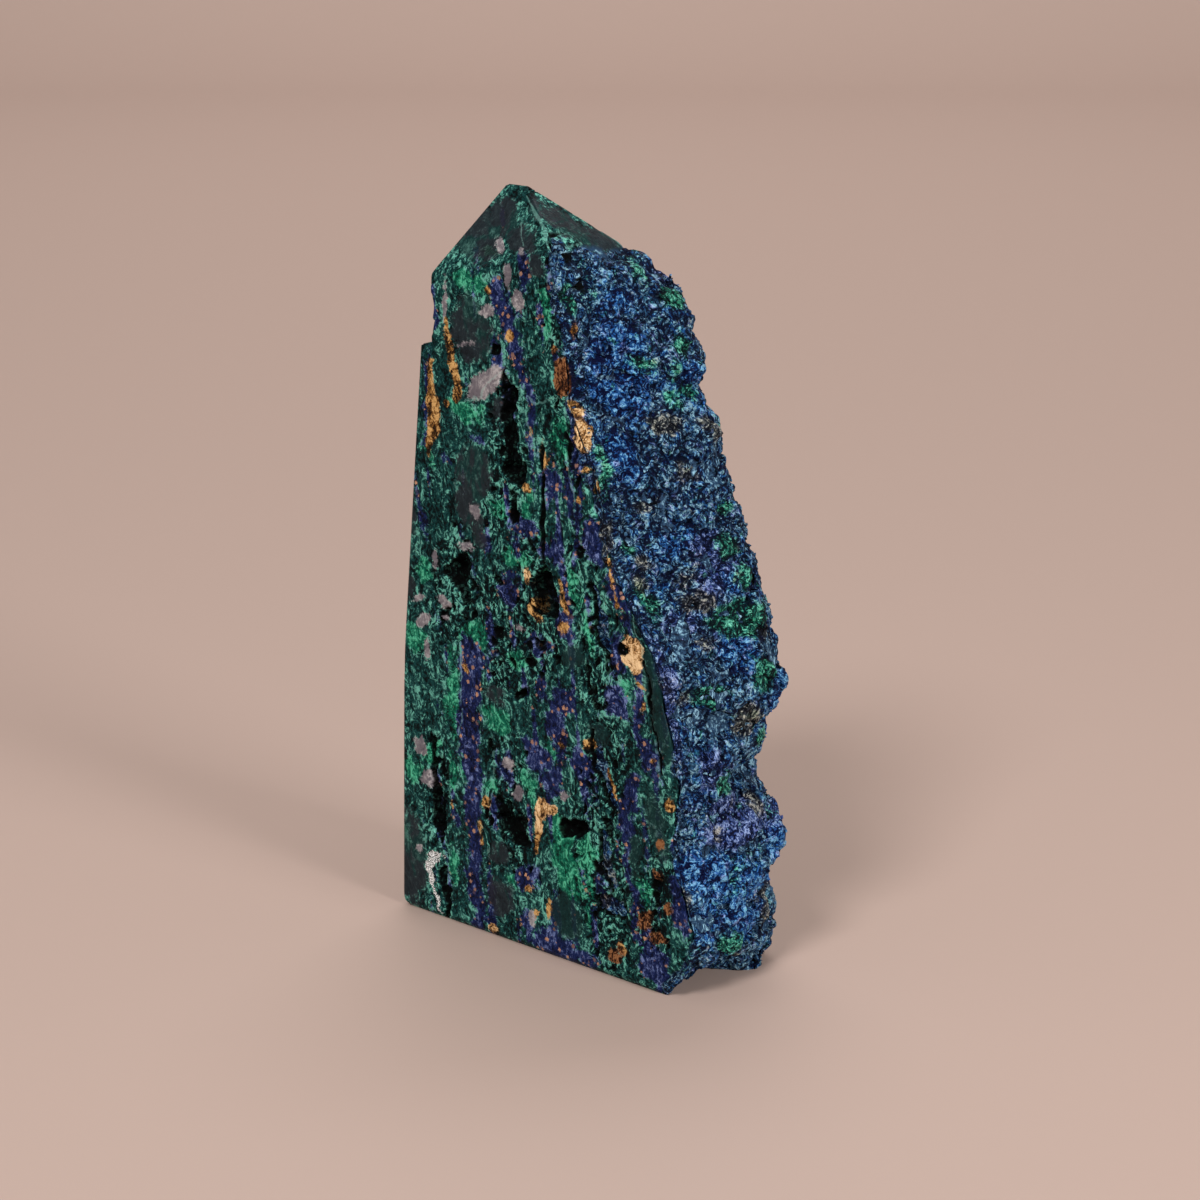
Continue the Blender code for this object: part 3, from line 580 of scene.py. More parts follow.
def front_minerals(u, z):
    """What the front face shows at (u, z), each as a share whose edge lies at a half, drawn out of true by noise."""
    at = at_height(u, z, 40.0)
    shift_u = 0.9 * noise(at, 3.4, 41) + 0.75 * noise(at, 1.5, 42) + 0.35 * noise(at, 0.7, 45)
    shift_z = 0.9 * noise(at, 3.4, 43) + 0.75 * noise(at, 1.5, 44) + 0.35 * noise(at, 0.7, 47)

    def spots(group, far=1.0):
        return spot_field(u + far * shift_u, z + far * shift_z, group)

    def veins(group, far=1.0):
        return vein_field(u + far * shift_u, z + far * shift_z, group)

    azurite = np.maximum(spots(AZURITE_SPOTS), veins(AZURITE_VEINS))
    # Thin azurite seams that run with the bands between the larger ones
    seams = noise(at_height((u + 0.12 * z) / 1.5, z / 7.0, 4.0), 1.0, 46) * 2.2 - 1.2
    azurite = np.maximum(azurite, np.where(u > 20, seams, seams - 0.6))
    tan, rust = as_share(spots(TAN_SPOTS, 0.4)), as_share(spots(RUST_SPOTS, 0.6))
    return {
        "azurite": as_share(azurite),
        "limonite": as_share(np.maximum(spots(LIMONITE_SPOTS, 0.6), veins(LIMONITE_VEINS, 0.45)), 1.6),
        "limonite_tone": np.clip(0.5 + 0.5 * tan - 0.5 * rust, 0, 1),
        "grey": as_share(spots(GREY_SPOTS, 0.5), 2.0),
        "bright": as_share(spots(BRIGHT_SPOTS)),
        "dark": as_share(spots(DARK_SPOTS, 0.8), 3.0),
        "quartz": as_share(veins(QUARTZ_VEINS), 1.2),
        "pale": as_share(veins(PALE_VEINS, 0.7), 1.2),
        "porous": np.clip(0.42 + 0.2 * np.clip(veins(POROUS_VEINS), -2, 2), 0, 1),
    }


def other_minerals(points):
    """What the left and back faces show: bands that run with the stone, from noise stretched along them."""
    u, d, z = points[..., 0], points[..., 1], points[..., 2]
    across = u * 0.9 + d * 0.75 + 0.14 * z

    def band(wide, tall, seed):
        return noise(at_height(across / wide, z / tall, seed * 1.0), 1.0, seed)

    azurite = 2.6 * band(4.4, 22.0, 51) + 1.2 * band(1.6, 7.0, 52) - 1.0
    return {
        "azurite": as_share(azurite),
        "limonite": as_share(2.4 * band(1.6, 5.0, 53) + 1.2 * band(0.9, 1.6, 54) - 2.1),
        "limonite_tone": np.clip(0.5 + 0.6 * band(3.0, 6.0, 55), 0, 1),
        "grey": as_share(2.4 * band(3.0, 4.0, 56) + 0.8 * band(1.2, 1.6, 57) - 1.9),
        "bright": as_share(2.2 * band(3.2, 7.0, 58) + 1.2 * band(1.3, 2.4, 59) - 0.9),
        "dark": as_share(3.0 * band(6.0, 10.0, 60) - 0.8, 3.0),
        "quartz": np.zeros_like(u),
        "pale": np.zeros_like(u),
        "porous": np.clip(0.36 + 0.6 * band(3.4, 9.0, 61), 0, 1),
    }


def crust_cover(points, side):
    """Where the crust covers the stone, from 0 to 1: all of the natural side but the smooth facet beside the tip,
    a ragged strip of the front along it that leaves its limonite bare, and the bay in the back."""
    u, d, z = points[..., 0], points[..., 1], points[..., 2]
    at = at_height(d + u, z, 20.0)
    facet = np.clip((u - 31.5 - 1.6 * noise(at, 3.0, 21) - 0.9 * noise(at, 1.2, 22)) / 2.5, 0, 1)
    sunk = ground_back(z) - d + 0.25 * noise(at, 2.0, 23)
    edge_u = NATURAL["right"](d, z)
    near_edge = np.clip((u - (edge_u - 3.5)) / 2.0, 0, 1)
    on_back = np.maximum(np.clip(sunk / 0.4 - 0.3, 0, 1), near_edge) * facet
    reach = 1.1 + 0.8 * np.clip((z - 50) / 25, 0, 1) + 1.5 * noise(at, 4.0, 24) + 1.1 * noise(at, 1.6, 25)
    on_front = np.clip((reach - (edge_u - u)) / 0.7, 0, 1) * facet
    on_front = on_front * np.clip(2.2 - 4 * front_minerals(u, z)["limonite"], 0, 1)
    return np.choose(side, [on_front, facet, on_back, np.zeros_like(u)])


def body_grid():
    """The ground body as a grid of rows and columns that follow its corners, and which side each column is on."""
    foot = np.array([0.0, 0.12, 0.3, 0.55])
    rows = np.concatenate([foot, np.arange(0.85, TIP_HEIGHT - 0.2, BODY_ROW_STEP), [TIP_HEIGHT - 0.12]])
    angle, outline, corners = row_outlines(rows)
    full_turn = 2 * math.pi
    angle = np.concatenate([angle[:, :-1], angle[:, :-1] + full_turn, angle[:, :1] + 2 * full_turn], axis=1)
    outline = np.concatenate([outline[:, :-1], outline], axis=1)
    corners = [*corners, corners[0] + full_turn]
    pieces, side = [], []
    for number, (name, count) in enumerate(BODY_COLUMNS.items()):
        shares = np.arange(count) / count
        if name != "front":
            # Closer together beside the corners
            shares = 0.65 * shares + 0.35 * (1 - np.cos(math.pi * shares)) / 2
        pieces.append(angles_along(angle, outline, corners[number], corners[number + 1], shares))
        side += [number] * count
    angles = np.concatenate(pieces, axis=1)
    z = np.repeat(rows[:, None], angles.shape[1], axis=1)
    return surface_at(angles, z), np.array(side)


def mesh_piece(name, points, faces, colours, material):
    """A mesh object at the origin from places in millimetres, faces and named values from 0 to 1 per point."""
    mesh = bpy.data.meshes.new(name)
    corner_count = np.concatenate([np.full(len(group), group.shape[1]) for group in faces])
    corners = np.concatenate([group.ravel() for group in faces])
    mesh.vertices.add(len(points))
    mesh.vertices.foreach_set("co", in_frame(points).astype(np.float32).ravel())
    mesh.loops.add(len(corners))
    mesh.loops.foreach_set("vertex_index", corners.astype(np.int32))
    mesh.polygons.add(len(corner_count))
    starts = np.concatenate([[0], np.cumsum(corner_count)[:-1]])
    mesh.polygons.foreach_set("loop_start", starts.astype(np.int32))
    mesh.update(calc_edges=True)
    mesh.validate()
    for key, values in colours.items():
        layer = mesh.attributes.new(key, "FLOAT", "POINT")
        layer.data.foreach_set("value", np.asarray(values, np.float32).ravel())
    obj = bpy.data.objects.new(name, mesh)
    bpy.context.scene.collection.objects.link(obj)
    mesh.materials.append(material)
    return obj


def tube_faces(rows, columns):
    """Quads between the rows of a closed grid, and a fan of triangles that closes each end about one more point:
    the first extra point closes the lowest row, the second the highest."""
    i, j = np.meshgrid(np.arange(rows - 1), np.arange(columns), indexing="ij")
    k = (j + 1) % columns
    quads = np.stack([i * columns + j, i * columns + k, (i + 1) * columns + k, (i + 1) * columns + j], axis=-1)
    around = np.arange(columns)
    after = (around + 1) % columns
    low, high = rows * columns, rows * columns + 1
    top = (rows - 1) * columns
    lower = np.stack([after, around, np.full(columns, low)], axis=-1)
    upper = np.stack([top + around, top + after, np.full(columns, high)], axis=-1)
    return [quads.reshape(-1, 4), np.concatenate([lower, upper])]


def shade_smooth(obj):
    obj.data.polygons.foreach_set("use_smooth", np.ones(len(obj.data.polygons), bool))


def ore_body(material):
    """The ground body: the stone's surface, sunk under the crust, with cavities, cracks and pits pressed in along
    the normals and the minerals of each place kept as named values."""
    base, side = body_grid()
    side = np.broadcast_to(side, base.shape[:2])
    u, d, z = base[..., 0], base[..., 1], base[..., 2]
    # The bands run into the stone, so that a facet shows what lies in front of it along their direction
    within = np.clip(d, 0, BAND_DEPTH)
    seen_u, seen_z = u + BAND_DRIFT_U * within, z + BAND_DRIFT_Z * within
    front = front_minerals(seen_u, seen_z)
    other = other_minerals(base)
    on_front = side == 0
    minerals = {key: np.where(side <= 1, front[key], other[key]) for key in front}
    edge_fade = np.clip(np.where(on_front, (u - 0.6) / 0.8, 1), 0, 1)
    depth, rim = vug_field(seen_u, seen_z, FRONT_VUGS, 24)
    crack_at = at_height(seen_u, seen_z, 60.0)
    crack = vein_field(seen_u + 0.7 * noise(crack_at, 1.7, 68) + 0.3 * noise(crack_at, 0.7, 69), seen_z, CRACKS)
    depth = np.maximum(depth, 1.3 * np.clip(crack / 0.35 + 0.3, 0, 1))
    back_depth, back_rim = vug_field(u, z, BACK_VUGS, 64, 1.3)
    depth = np.select([on_front, side == 2], [depth, back_depth], 0)
    rim = np.select([on_front, side == 2], [rim, back_rim], 0)
    flat_u = np.where(side == 3, d, u)
    share = minerals["porous"] * np.clip(1.5 - 2 * np.maximum(minerals["dark"], minerals["grey"]), 0, 1)
    for cell, deep, seed in ((2.1, 0.9, 31), (1.25, 0.6, 33)):
        pit, pit_rim = pit_field(flat_u, z, cell, share * 0.62, deep, seed)
        depth, rim = np.maximum(depth, pit), np.maximum(rim, pit_rim * 0.6)
    depth = depth * edge_fade
    cover = crust_cover(base, side)
    left_edge = 4.4 + 0.1 * np.clip(z - 35, 0, 80)
    hollow = np.where(side == 3, np.clip((u - left_edge) / 0.8, 0, 1) * (z < LEFT_HOLLOW_Z[1]), 0)
    fine = 0.03 * noise(base, 0.7, 71) * minerals["porous"]
    rough = crystal_grains(base, 1.1, 81)[0]
    lumpy = crystal_grains(base, 0.9, 83)[0]
    depth = depth + 0.4 * lumpy * np.clip(depth - 0.4, 0, 1)
    inward = depth * (1 - cover) + CRUST_SUNK * cover - fine - 0.22 * rough * hollow
    inward = inward * np.clip(z / 0.5, 0, 1) * np.clip((TIP_HEIGHT - z) / 2, 0, 1)
    points = base - grid_normals(base) * inward[..., None]
    points[..., 2] = np.clip(points[..., 2], 0, None)
    rows, columns = base.shape[:2]
    low = np.array([[FOOT_WIDTH / 2, THICKNESS / 2, 0.0]])
    high = np.array([[*AXIS_TOP, TIP_HEIGHT - 0.1]])
    # cavity is the depth pressed in, which the shader turns into painted shade; rim is the nearness to the rims
    values = {**minerals, "cavity": np.clip(depth / 2.2, 0, 1), "rim": np.clip(rim, 0, 1)}
    values["natural"] = np.maximum(hollow, cover)
    values = {key: np.append(value, [0, 0]) for key, value in values.items()}
    points = np.concatenate([points.reshape(-1, 3), low, high])
    obj = mesh_piece("ore_body", points, tube_faces(rows, columns), values, material)
    shade_smooth(obj)
    return obj


def azurite_crust(material):
    """The crust: a closed shell over the natural side and the bay, whose outer surface is the stone's own with
    knobs and grains of three sizes raised along the normals, lower beside the front, and which dives under the
    ground faces at its edges. Also gives the outer surface, its cover and its named values."""
    rows = np.arange(0.0, CRUST_TOP, CRUST_ROW_STEP)
    angle, outline, corners = row_outlines(rows)
    front_start = corners[0] + CRUST_FRONT_START * (corners[1] - corners[0])
    back_end = corners[2] + CRUST_BACK_END * (corners[3] - corners[2])
    ends = (front_start, corners[1], corners[2], back_end)
    shares = [np.arange(count) / count for count in CRUST_COLUMNS.values()]
    shares[2] = np.linspace(0, 1, CRUST_COLUMNS["back"])
    spans = [angles_along(angle, outline, *span) for span in zip(ends, ends[1:], shares)]
    outer_angle = np.concatenate(spans, axis=1)
    columns = outer_angle.shape[1]
    z = np.repeat(rows[:, None], columns, axis=1)
    base = surface_at(outer_angle, z)
    u, d = base[..., 0], base[..., 1]
    side = np.broadcast_to(np.repeat([0, 1, 2], list(CRUST_COLUMNS.values())), z.shape)
    cover = crust_cover(base, side)
    cover[:, 0], cover[:, -1] = 0, 0
    bent = base + 0.5 * np.stack([noise(base, 1.3, 105 + axis) for axis in range(3)], axis=-1)
    lump, lump_gap, knob = crystal_grains(bent, KNOB_SIZE, 131)
    coarse, gap, small_knob = crystal_grains(bent, GRAIN_SIZE, 91)
    fine = crystal_grains(bent, FINE_SIZE, 101)[2]
    valley = np.clip(1 - lump_gap / 0.3, 0, 1)
    relief = 1.3 * knob + 0.55 * lump + 0.45 * small_knob + 0.15 * coarse + 0.2 * fine - 0.2 * valley - 0.3
    nub = np.exp(-(((d - NUB_D) / 1.8) ** 2) - ((z - NUB_Z) / 1.6) ** 2)
    beside = np.exp(-(((d - NUB_D) / 3.4) ** 2) - ((z - NUB_Z + 0.4) / 4.6) ** 2)
    relief = (relief + NUB_HEIGHT * nub - beside) * np.clip(0.4 + 0.3 * d, 0.4, 1)
    relief = np.where(side == 0, np.minimum(relief, 0.15) - 0.1, relief)
    outward = relief * cover - 0.9 * (1 - cover)
    points = base + grid_normals(base, closed=False) * outward[..., None]
    inner_base = base[:, np.linspace(columns - 1, 0, CRUST_INNER).astype(int)]
    middle = np.stack([*axis_at(rows), rows], axis=-1)[:, None]
    reach = np.linalg.norm(inner_base - middle, axis=-1, keepdims=True)
    inner = middle + (inner_base - middle) * np.clip(1 - CRUST_THICKNESS / reach, 0.3, 1)
    ring = np.concatenate([points, inner], axis=1)
    ring[..., 2] = np.clip(ring[..., 2], 0, None)
    at = at_height(d, z, 30.0)
    wander_d = d + 0.9 * noise(at, 2.4, 121) + 0.4 * noise(at, 1.0, 122)
    wander_z = z + 0.9 * noise(at, 2.4, 123) + 0.4 * noise(at, 1.0, 124)

    def patches(group, size, seed, far, reach):
        placed = np.where(side == 1, spot_field(wander_d, wander_z, group), -1.2)
        return np.maximum(placed, far * noise(base, size, seed) - reach)

    # Painted light and shade: the height value makes the crust lighter on its knobs and grains and darker low between
    # them, and the crevice value darkens the gaps between grains and the valleys between knobs. The height value also
    # weighs where the small crystals grow.
    values = {
        "height": np.clip(0.3 + 0.5 * knob + 0.3 * lump + 0.6 * small_knob + 0.2 * coarse, 0, 1),
        "crevice_shade": np.maximum(np.clip(1 - gap / 0.16, 0, 1), 0.8 * valley),
        "green": as_share(patches(CRUST_GREEN, 5.0, 125, 2.2, 1.7), 3.0),
        "brown": as_share(patches(CRUST_BROWN, 4.0, 126, 2.2, 1.6), 3.0),
        "purple": as_share(patches(CRUST_PURPLE, 6.0, 127, 2.0, 1.2), 3.0),
        "vivid": as_share(patches(CRUST_VIVID, 5.0, 128, 2.2, 1.2), 4.0),
    }
    near_front = front_minerals(u + BAND_DRIFT_U * d, z + BAND_DRIFT_Z * d)
    values["limonite"] = near_front["limonite"] * np.clip(4.4 - d, 0, 1)
    values["limonite_tone"] = near_front["limonite_tone"]
    hidden = np.full((len(rows), CRUST_INNER), 0.3)
    whole = {key: np.append(np.concatenate([value, hidden], axis=1), [0.3, 0.3]) for key, value in values.items()}
    ends = np.array([ring[0].mean(axis=0), ring[-1].mean(axis=0)])
    places = np.concatenate([ring.reshape(-1, 3), ends])
    obj = mesh_piece("azurite_crust", places, tube_faces(len(rows), ring.shape[1]), whole, material)
    shade_smooth(obj)
    return obj, points, cover, values


def prisms(roots, outward, turn, length, width, flatness):
    """Points and faces of many chisel-ended prisms at once: a four-sided section at the foot and the shoulder and a
    ridge of two points, each carried to its root and turned about its own direction."""
    helper = np.where(np.abs(outward[:, 2:3]) < 0.9, [[0.0, 0.0, 1.0]], [[1.0, 0.0, 0.0]])
    first = np.cross(outward, helper)
    first /= np.linalg.norm(first, axis=1, keepdims=True)
    second = np.cross(outward, first)
    side = first * np.cos(turn)[:, None] + second * np.sin(turn)[:, None]
    across = np.cross(outward, side)
    section = np.array([[1.0, 0.0], [0.0, 1.0], [-1.0, 0.0], [0.0, -1.0]])
    # Height along the prism, then how far the point lies to the side and across
    corners = [(height, a * spread, b * spread) for height, spread in ((-0.5, 0.42), (0.35, 0.5)) for a, b in section]
    corners += [(0.75, 0.26, 0.0), (0.75, -0.26, 0.0)]
    length, width = length[:, None], width[:, None]
    points = np.stack([roots + outward * (length * height) + side * (a * width) + across * (b * flatness * width)
                       for height, a, b in corners], axis=1)
    quads = np.array([[0, 1, 5, 4], [1, 2, 6, 5], [2, 3, 7, 6], [3, 0, 4, 7], [3, 2, 1, 0], [5, 6, 9, 8], [7, 4, 8, 9]])
    tris = np.array([[4, 5, 8], [6, 7, 9]])
    shift = (np.arange(len(roots)) * 10)[:, None, None]
    return points.reshape(-1, 3), [(quads + shift).reshape(-1, 4), (tris + shift).reshape(-1, 3)]


def azurite_blades(points, cover, values, material):
    """Small azurite crystals over the crust: rooted at points of it, leaning at random about its normal."""
    rng = np.random.default_rng(5)
    normals = grid_normals(points, closed=False)
    weight = ((cover > 0.85) & (points[..., 2] > 1.2)) * (0.35 + values["height"])
    flat = weight.ravel() / weight.sum()
    chosen = rng.choice(flat.size, BLADE_COUNT, replace=False, p=flat)
    root = points.reshape(-1, 3)[chosen]
    outward = normals.reshape(-1, 3)[chosen] + rng.normal(0, 0.45, (len(chosen), 3))
    outward /= np.linalg.norm(outward, axis=1, keepdims=True)
    width = 0.4 + 0.6 * rng.uniform(0, 1, len(chosen)) ** 2
    length = width * rng.uniform(0.15, 0.4, len(chosen))
    places, faces = prisms(root, outward, rng.uniform(0, math.pi, len(chosen)), length, width, 0.7)
    kept = {key: np.repeat(values[key].ravel()[chosen], 10) for key in ("green", "brown", "purple", "vivid")}
    kept["tone"] = np.repeat(rng.uniform(0, 1, len(chosen)), 10)
    return mesh_piece("azurite_blades", places, faces, kept, material)


def linear(red, green, blue):
    """A colour given as screen values from 0 to 255, as linear light."""
    value = np.array([red, green, blue]) / 255.0
    value = np.where(value <= 0.04045, value / 12.92, ((value + 0.055) / 1.055) ** 2.4)
    return (*value, 1.0)


class Shading:
    """A node tree with short ways to add and join its nodes."""

    def __init__(self, tree):
        self.tree = tree

    def put(self, socket, value):
        if isinstance(value, bpy.types.NodeSocket):
            self.tree.links.new(value, socket)
        elif value is not None:
            socket.default_value = value

    def node(self, kind, settings=None, **inputs):
        made = self.tree.nodes.new(kind)
        for key, value in (settings or {}).items():
            setattr(made, key, value)
        for key, value in inputs.items():
            self.put(made.inputs[key.replace("_", " ")], value)
        return made

    def fill(self, made, values):
        for socket, value in zip(made.inputs, values):
            self.put(socket, value)
        return made

    def math(self, operation, *values):
        return self.fill(self.node("ShaderNodeMath", {"operation": operation}), values).outputs[0]

    def times(self, first, second):
        return self.math("MULTIPLY", first, second)

    def plus(self, base, value, amount=1.0):
        """The base and an amount of the value."""
        return self.math("MULTIPLY_ADD", value, amount, base)

    def sway(self, base, value, amount):
        """The base and an amount of what the value has over a half."""
        return self.plus(base, self.math("SUBTRACT", value, 0.5), amount)

    def larger(self, first, *others):
        for other in others:
            first = self.math("MAXIMUM", first, other)
        return first

    def span(self, value, low, high, to_low=0.0, to_high=1.0):
        """A soft step: to_low where the value is low, to_high where it is high."""
        made = self.node("ShaderNodeMapRange", {"interpolation_type": "SMOOTHSTEP"})
        return self.fill(made, (value, low, high, to_low, to_high)).outputs[0]

    def mix(self, share, first, second):
        made = self.node("ShaderNodeMix", {"data_type": "RGBA"})
        for index, value in ((0, share), (6, first), (7, second)):
            self.put(made.inputs[index], value)
        return made.outputs[2]

    def value(self, name):
        return self.node("ShaderNodeAttribute", {"attribute_name": name}).outputs["Fac"]

    def noise(self, place, scale, detail=3.0, rough=0.55, distortion=0.0):
        return self.node("ShaderNodeTexNoise", None, Vector=place, Scale=scale, Detail=detail, Roughness=rough,
                         Distortion=distortion).outputs["Fac"]

    def parts(self, place):
        return self.node("ShaderNodeSeparateXYZ", None, Vector=place).outputs

    def millimetres(self, stretch=(1.0, 1.0, 1.0)):
        """Object coordinates in millimetres, stretched along the axes."""
        made = self.node("ShaderNodeMapping", None, Vector=self.node("ShaderNodeTexCoord").outputs["Object"])
        made.inputs["Scale"].default_value = tuple(1000.0 * s for s in stretch)
        return made.outputs[0]

    def finish(self, shader, colour, roughness, specular, height=None, strength=0.0):
        """Joins colour, roughness and height to the shader. What is the same all over is set on its sockets."""
        self.put(shader.inputs["Base Color"], colour)
        self.put(shader.inputs["Roughness"], roughness)
        shader.inputs["Specular IOR Level"].default_value = specular
        if height is not None:
            bump = self.node("ShaderNodeBump", None, Strength=strength, Distance=BUMP_DEPTH, Height=height)
            self.put(shader.inputs["Normal"], bump.outputs[0])


def lace_group():
    """Curly lace of mineral: a warped noise is cut into contour lines by the sine of many times its value. The
    crests of the sine are thin pale lines, its troughs are pores, and a second noise breaks both."""
    tree = bpy.data.node_groups.new("mineral_lace", "ShaderNodeTree")
    tree.interface.new_socket("Vector", in_out="INPUT", socket_type="NodeSocketVector")
    for title, start in (("Spacing", 1.0), ("Warp", 0.6)):
        tree.interface.new_socket(title, in_out="INPUT", socket_type="NodeSocketFloat").default_value = start
    for title in ("Lines", "Pores", "Wave"):
        tree.interface.new_socket(title, in_out="OUTPUT", socket_type="NodeSocketFloat")
    s, given, end = Shading(tree), tree.nodes.new("NodeGroupInput").outputs, tree.nodes.new("NodeGroupOutput")
    rate = s.math("DIVIDE", LACE_RATE, given["Spacing"])
    level = s.noise(given["Vector"], rate, 1.8, 0.5, given["Warp"])
    wave = s.math("SINE", s.times(level, 2 * math.pi * LACE_WAVES))
    broken = s.noise(given["Vector"], s.times(rate, 4.0), 2.0, 0.6)
    s.fill(end, (
        s.times(s.span(wave, 0.74, 0.95), s.span(broken, 0.36, 0.50, 0.1, 1.0)),
        s.times(s.span(wave, -0.15, -0.9), s.span(broken, 0.70, 0.48, 0.2, 1.0)),
        s.plus(0.5, wave, 0.5),
    ))
    return tree


def lace(s, tree, place, spacing, warp, pore_share, amount, light=0.0):
    """The light and an amount of lace: its lines less a share of its pores. Also gives the lace's wave."""
    made = s.node("ShaderNodeGroup", {"node_tree": tree}, Vector=place, Spacing=spacing, Warp=warp).outputs
    swing = s.math("SUBTRACT", made["Lines"], s.times(made["Pores"], pore_share))
    return s.plus(light, swing, amount), made["Wave"], made["Lines"]


def new_material(name):
    material = bpy.data.materials.new(name)
    material.use_nodes = True
    return material, Shading(material.node_tree), material.node_tree.nodes["Principled BSDF"]


def tones(s, light, name):
    """The colour of a mineral for a lightness from 0 to 1: dark up to 0.05, middle near a half, bright from 0.95."""
    dark, middle, bright = (linear(*colour) for colour in TONES[name])
    return s.mix(s.span(light, 0.45, 0.95), s.mix(s.span(light, 0.05, 0.5), dark, middle), bright)


def limonite_tones(s, warm, kind, tan_lift):
    """Rust, ochre or tan by the named value limonite_tone, each for the same lightness."""
    tone = s.value("limonite_tone")
    colour = s.mix(s.span(tone, 0.1, 0.4), tones(s, warm, kind + " rust"), tones(s, warm, kind + " ochre"))
    return s.mix(s.span(tone, 0.6, 0.9), colour, tones(s, s.math("ADD", warm, tan_lift), kind + " tan"))


def polished_ore(lace_tree):
    """Ground ore: malachite with livelier patches, azurite with peach specks, smooth charcoal, grey and limonite
    patches. One lightness, from curly lace, broad and fine noise and the pale lines where minerals meet, chooses
    between the tones of each."""
    material, s, shader = new_material("polished_ore")
    place, banded = s.millimetres(), s.millimetres((1.0, 1.0, 0.65))
    broad = s.noise(banded, 0.2, 4.0, 0.6, 0.5)
    patchy = s.noise(banded, 0.75, 5.0, 0.72, 0.6)
    fine = s.noise(banded, 2.2, 5.0, 0.75, 0.8)
    grit = s.noise(place, 5.0, 3.0, 0.6)
    frayed = s.noise(place, 0.8, 8.0, 0.85)

    def patch(name, fray, soft=0.06):
        drawn = s.sway(s.value(name), frayed, fray)
        away = s.math("ABSOLUTE", s.math("SUBTRACT", drawn, 0.5))
        return s.span(drawn, 0.5 - soft, 0.5 + soft), s.span(away, 0.1, 0.02)

    azurite, azurite_line = patch("azurite", 2.3)
    bright, bright_line = patch("bright", 2.0, 0.12)
    dark, dark_line = patch("dark", 2.0, 0.12)
    grey, grey_line = patch("grey", 1.5)
    pale = patch("pale", 0.8, 0.1)[0]
    smooth = s.larger(dark, grey)
    amount = s.times(s.span(s.value("porous"), 0.05, 0.65, 0.6, 1.0), s.plus(1.0, smooth, -0.72))
    amount = s.times(amount, s.plus(1.0, azurite, -0.3))
    swing = lace(s, lace_tree, banded, 0.95, 1.0, 0.65, 0.48)[0]
    swing, small_wave, small_lines = lace(s, lace_tree, place, 0.6, 0.8, 0.65, 0.44, swing)

    light = s.sway(s.plus(0.46, swing, amount), broad, 0.8)
    light = s.sway(light, patchy, s.plus(1.0, smooth, -0.5))
    light = s.sway(light, fine, s.plus(1.1, smooth, -0.6))
    light = s.sway(light, grit, s.plus(0.5, smooth, -0.3))
    seams = s.times(s.larger(azurite_line, bright_line, dark_line, grey_line), s.span(small_wave, 0.3, 0.8))
    rim = s.times(s.value("rim"), s.span(s.noise(place, 1.6, 3.0), 0.42, 0.58))
    light = s.plus(s.plus(s.plus(light, seams, 0.22), pale, 0.20), rim, 0.32)

    colour = s.mix(bright, tones(s, light, "malachite"), tones(s, s.math("ADD", light, 0.14), "lively malachite"))
    # Peach specks in the azurite: one to a cell of a Voronoi pattern, ragged, of any size, and only in some cells
    speck = s.node("ShaderNodeTexVoronoi", {"feature": "F1"}, Vector=place, Scale=1.1).outputs
    size, kept, tint = s.node("ShaderNodeSeparateColor", None, Color=speck["Color"]).outputs
    near = s.sway(s.sway(speck["Distance"], grit, 0.7), fine, 1.1)
    near = s.math("SUBTRACT", near, s.span(size, 0.0, 1.0, 0.08, 0.38))
    speckled = s.times(s.span(near, 0.03, -0.03), s.span(kept, 0.70, 0.72))
    blue = tones(s, s.math("SUBTRACT", light, 0.05), "azurite")
    blue = s.mix(speckled, blue, s.mix(tint, linear(*PEACH_DARK), linear(*PEACH)))
    colour = s.mix(azurite, colour, blue)
    # The dark patches are neutral on the left and at the tip, and greenish elsewhere
    across, _, up = s.parts(place)
    greenish = s.times(s.span(across, -5.0, 0.0), s.span(up, 104.0, 98.0))
    greenish = s.larger(s.span(broad, 0.50, 0.58), greenish)
    charcoal = s.mix(greenish, tones(s, light, "charcoal"), tones(s, light, "green charcoal"))
    colour = s.mix(s.times(dark, 0.84), colour, charcoal)
    colour = s.mix(grey, colour, tones(s, s.math("ADD", light, 0.12), "grey"))
    warm = s.plus(0.46, s.math("SUBTRACT", light, 0.38), 1.9)
    colour = s.mix(patch("limonite", 1.7, 0.05)[0], colour, limonite_tones(s, warm, "ground", 0.08))
    colour = s.mix(s.span(s.value("natural"), 0.3, 0.7), colour, tones(s, light, "natural"))
    colour = s.mix(s.times(s.span(pale, 0.4, 0.9), 0.4), colour, linear(*PALE_LINE))
    # Painted shade: cavities, cracks and pits turn near black with their depth, a little less on their rims, crossed by
    # green lace lines
    cavity = s.times(s.span(s.value("cavity"), 0.03, 0.20), s.plus(1.0, rim, -0.25))
    inside = s.mix(s.times(s.span(fine, 0.5, 0.68), small_lines), linear(*CAVITY_SHADE_BLACK), linear(*CAVITY_GREEN))
    colour = s.mix(cavity, colour, inside)
    sparkle = s.mix(s.span(grit, 0.44, 0.54), linear(*QUARTZ_SHADE), linear(*QUARTZ))
    colour = s.mix(patch("quartz", 2.6, 0.04)[0], colour, sparkle)

    rough = s.sway(s.span(amount, 0.0, 1.0, 0.34, 0.6), grit, 0.12)
    height = s.plus(s.times(swing, amount), grit, 0.12)
    s.finish(shader, colour, s.larger(rough, s.times(cavity, 0.8)), 0.06, height, 0.6)
    return material


def crust_tones(s, vivid, green, brown, purple, light):
    """Colours of the crust for a lightness from 0 to 1: azurite blue, more vivid, violet, malachite or brown where
    the shares say."""
    colour = tones(s, light, "druse")
    for share, name in ((vivid, "vivid"), (purple, "violet"), (green, "green"), (brown, "brown")):
        colour = s.mix(share, colour, tones(s, light, name + " druse"))
    return colour


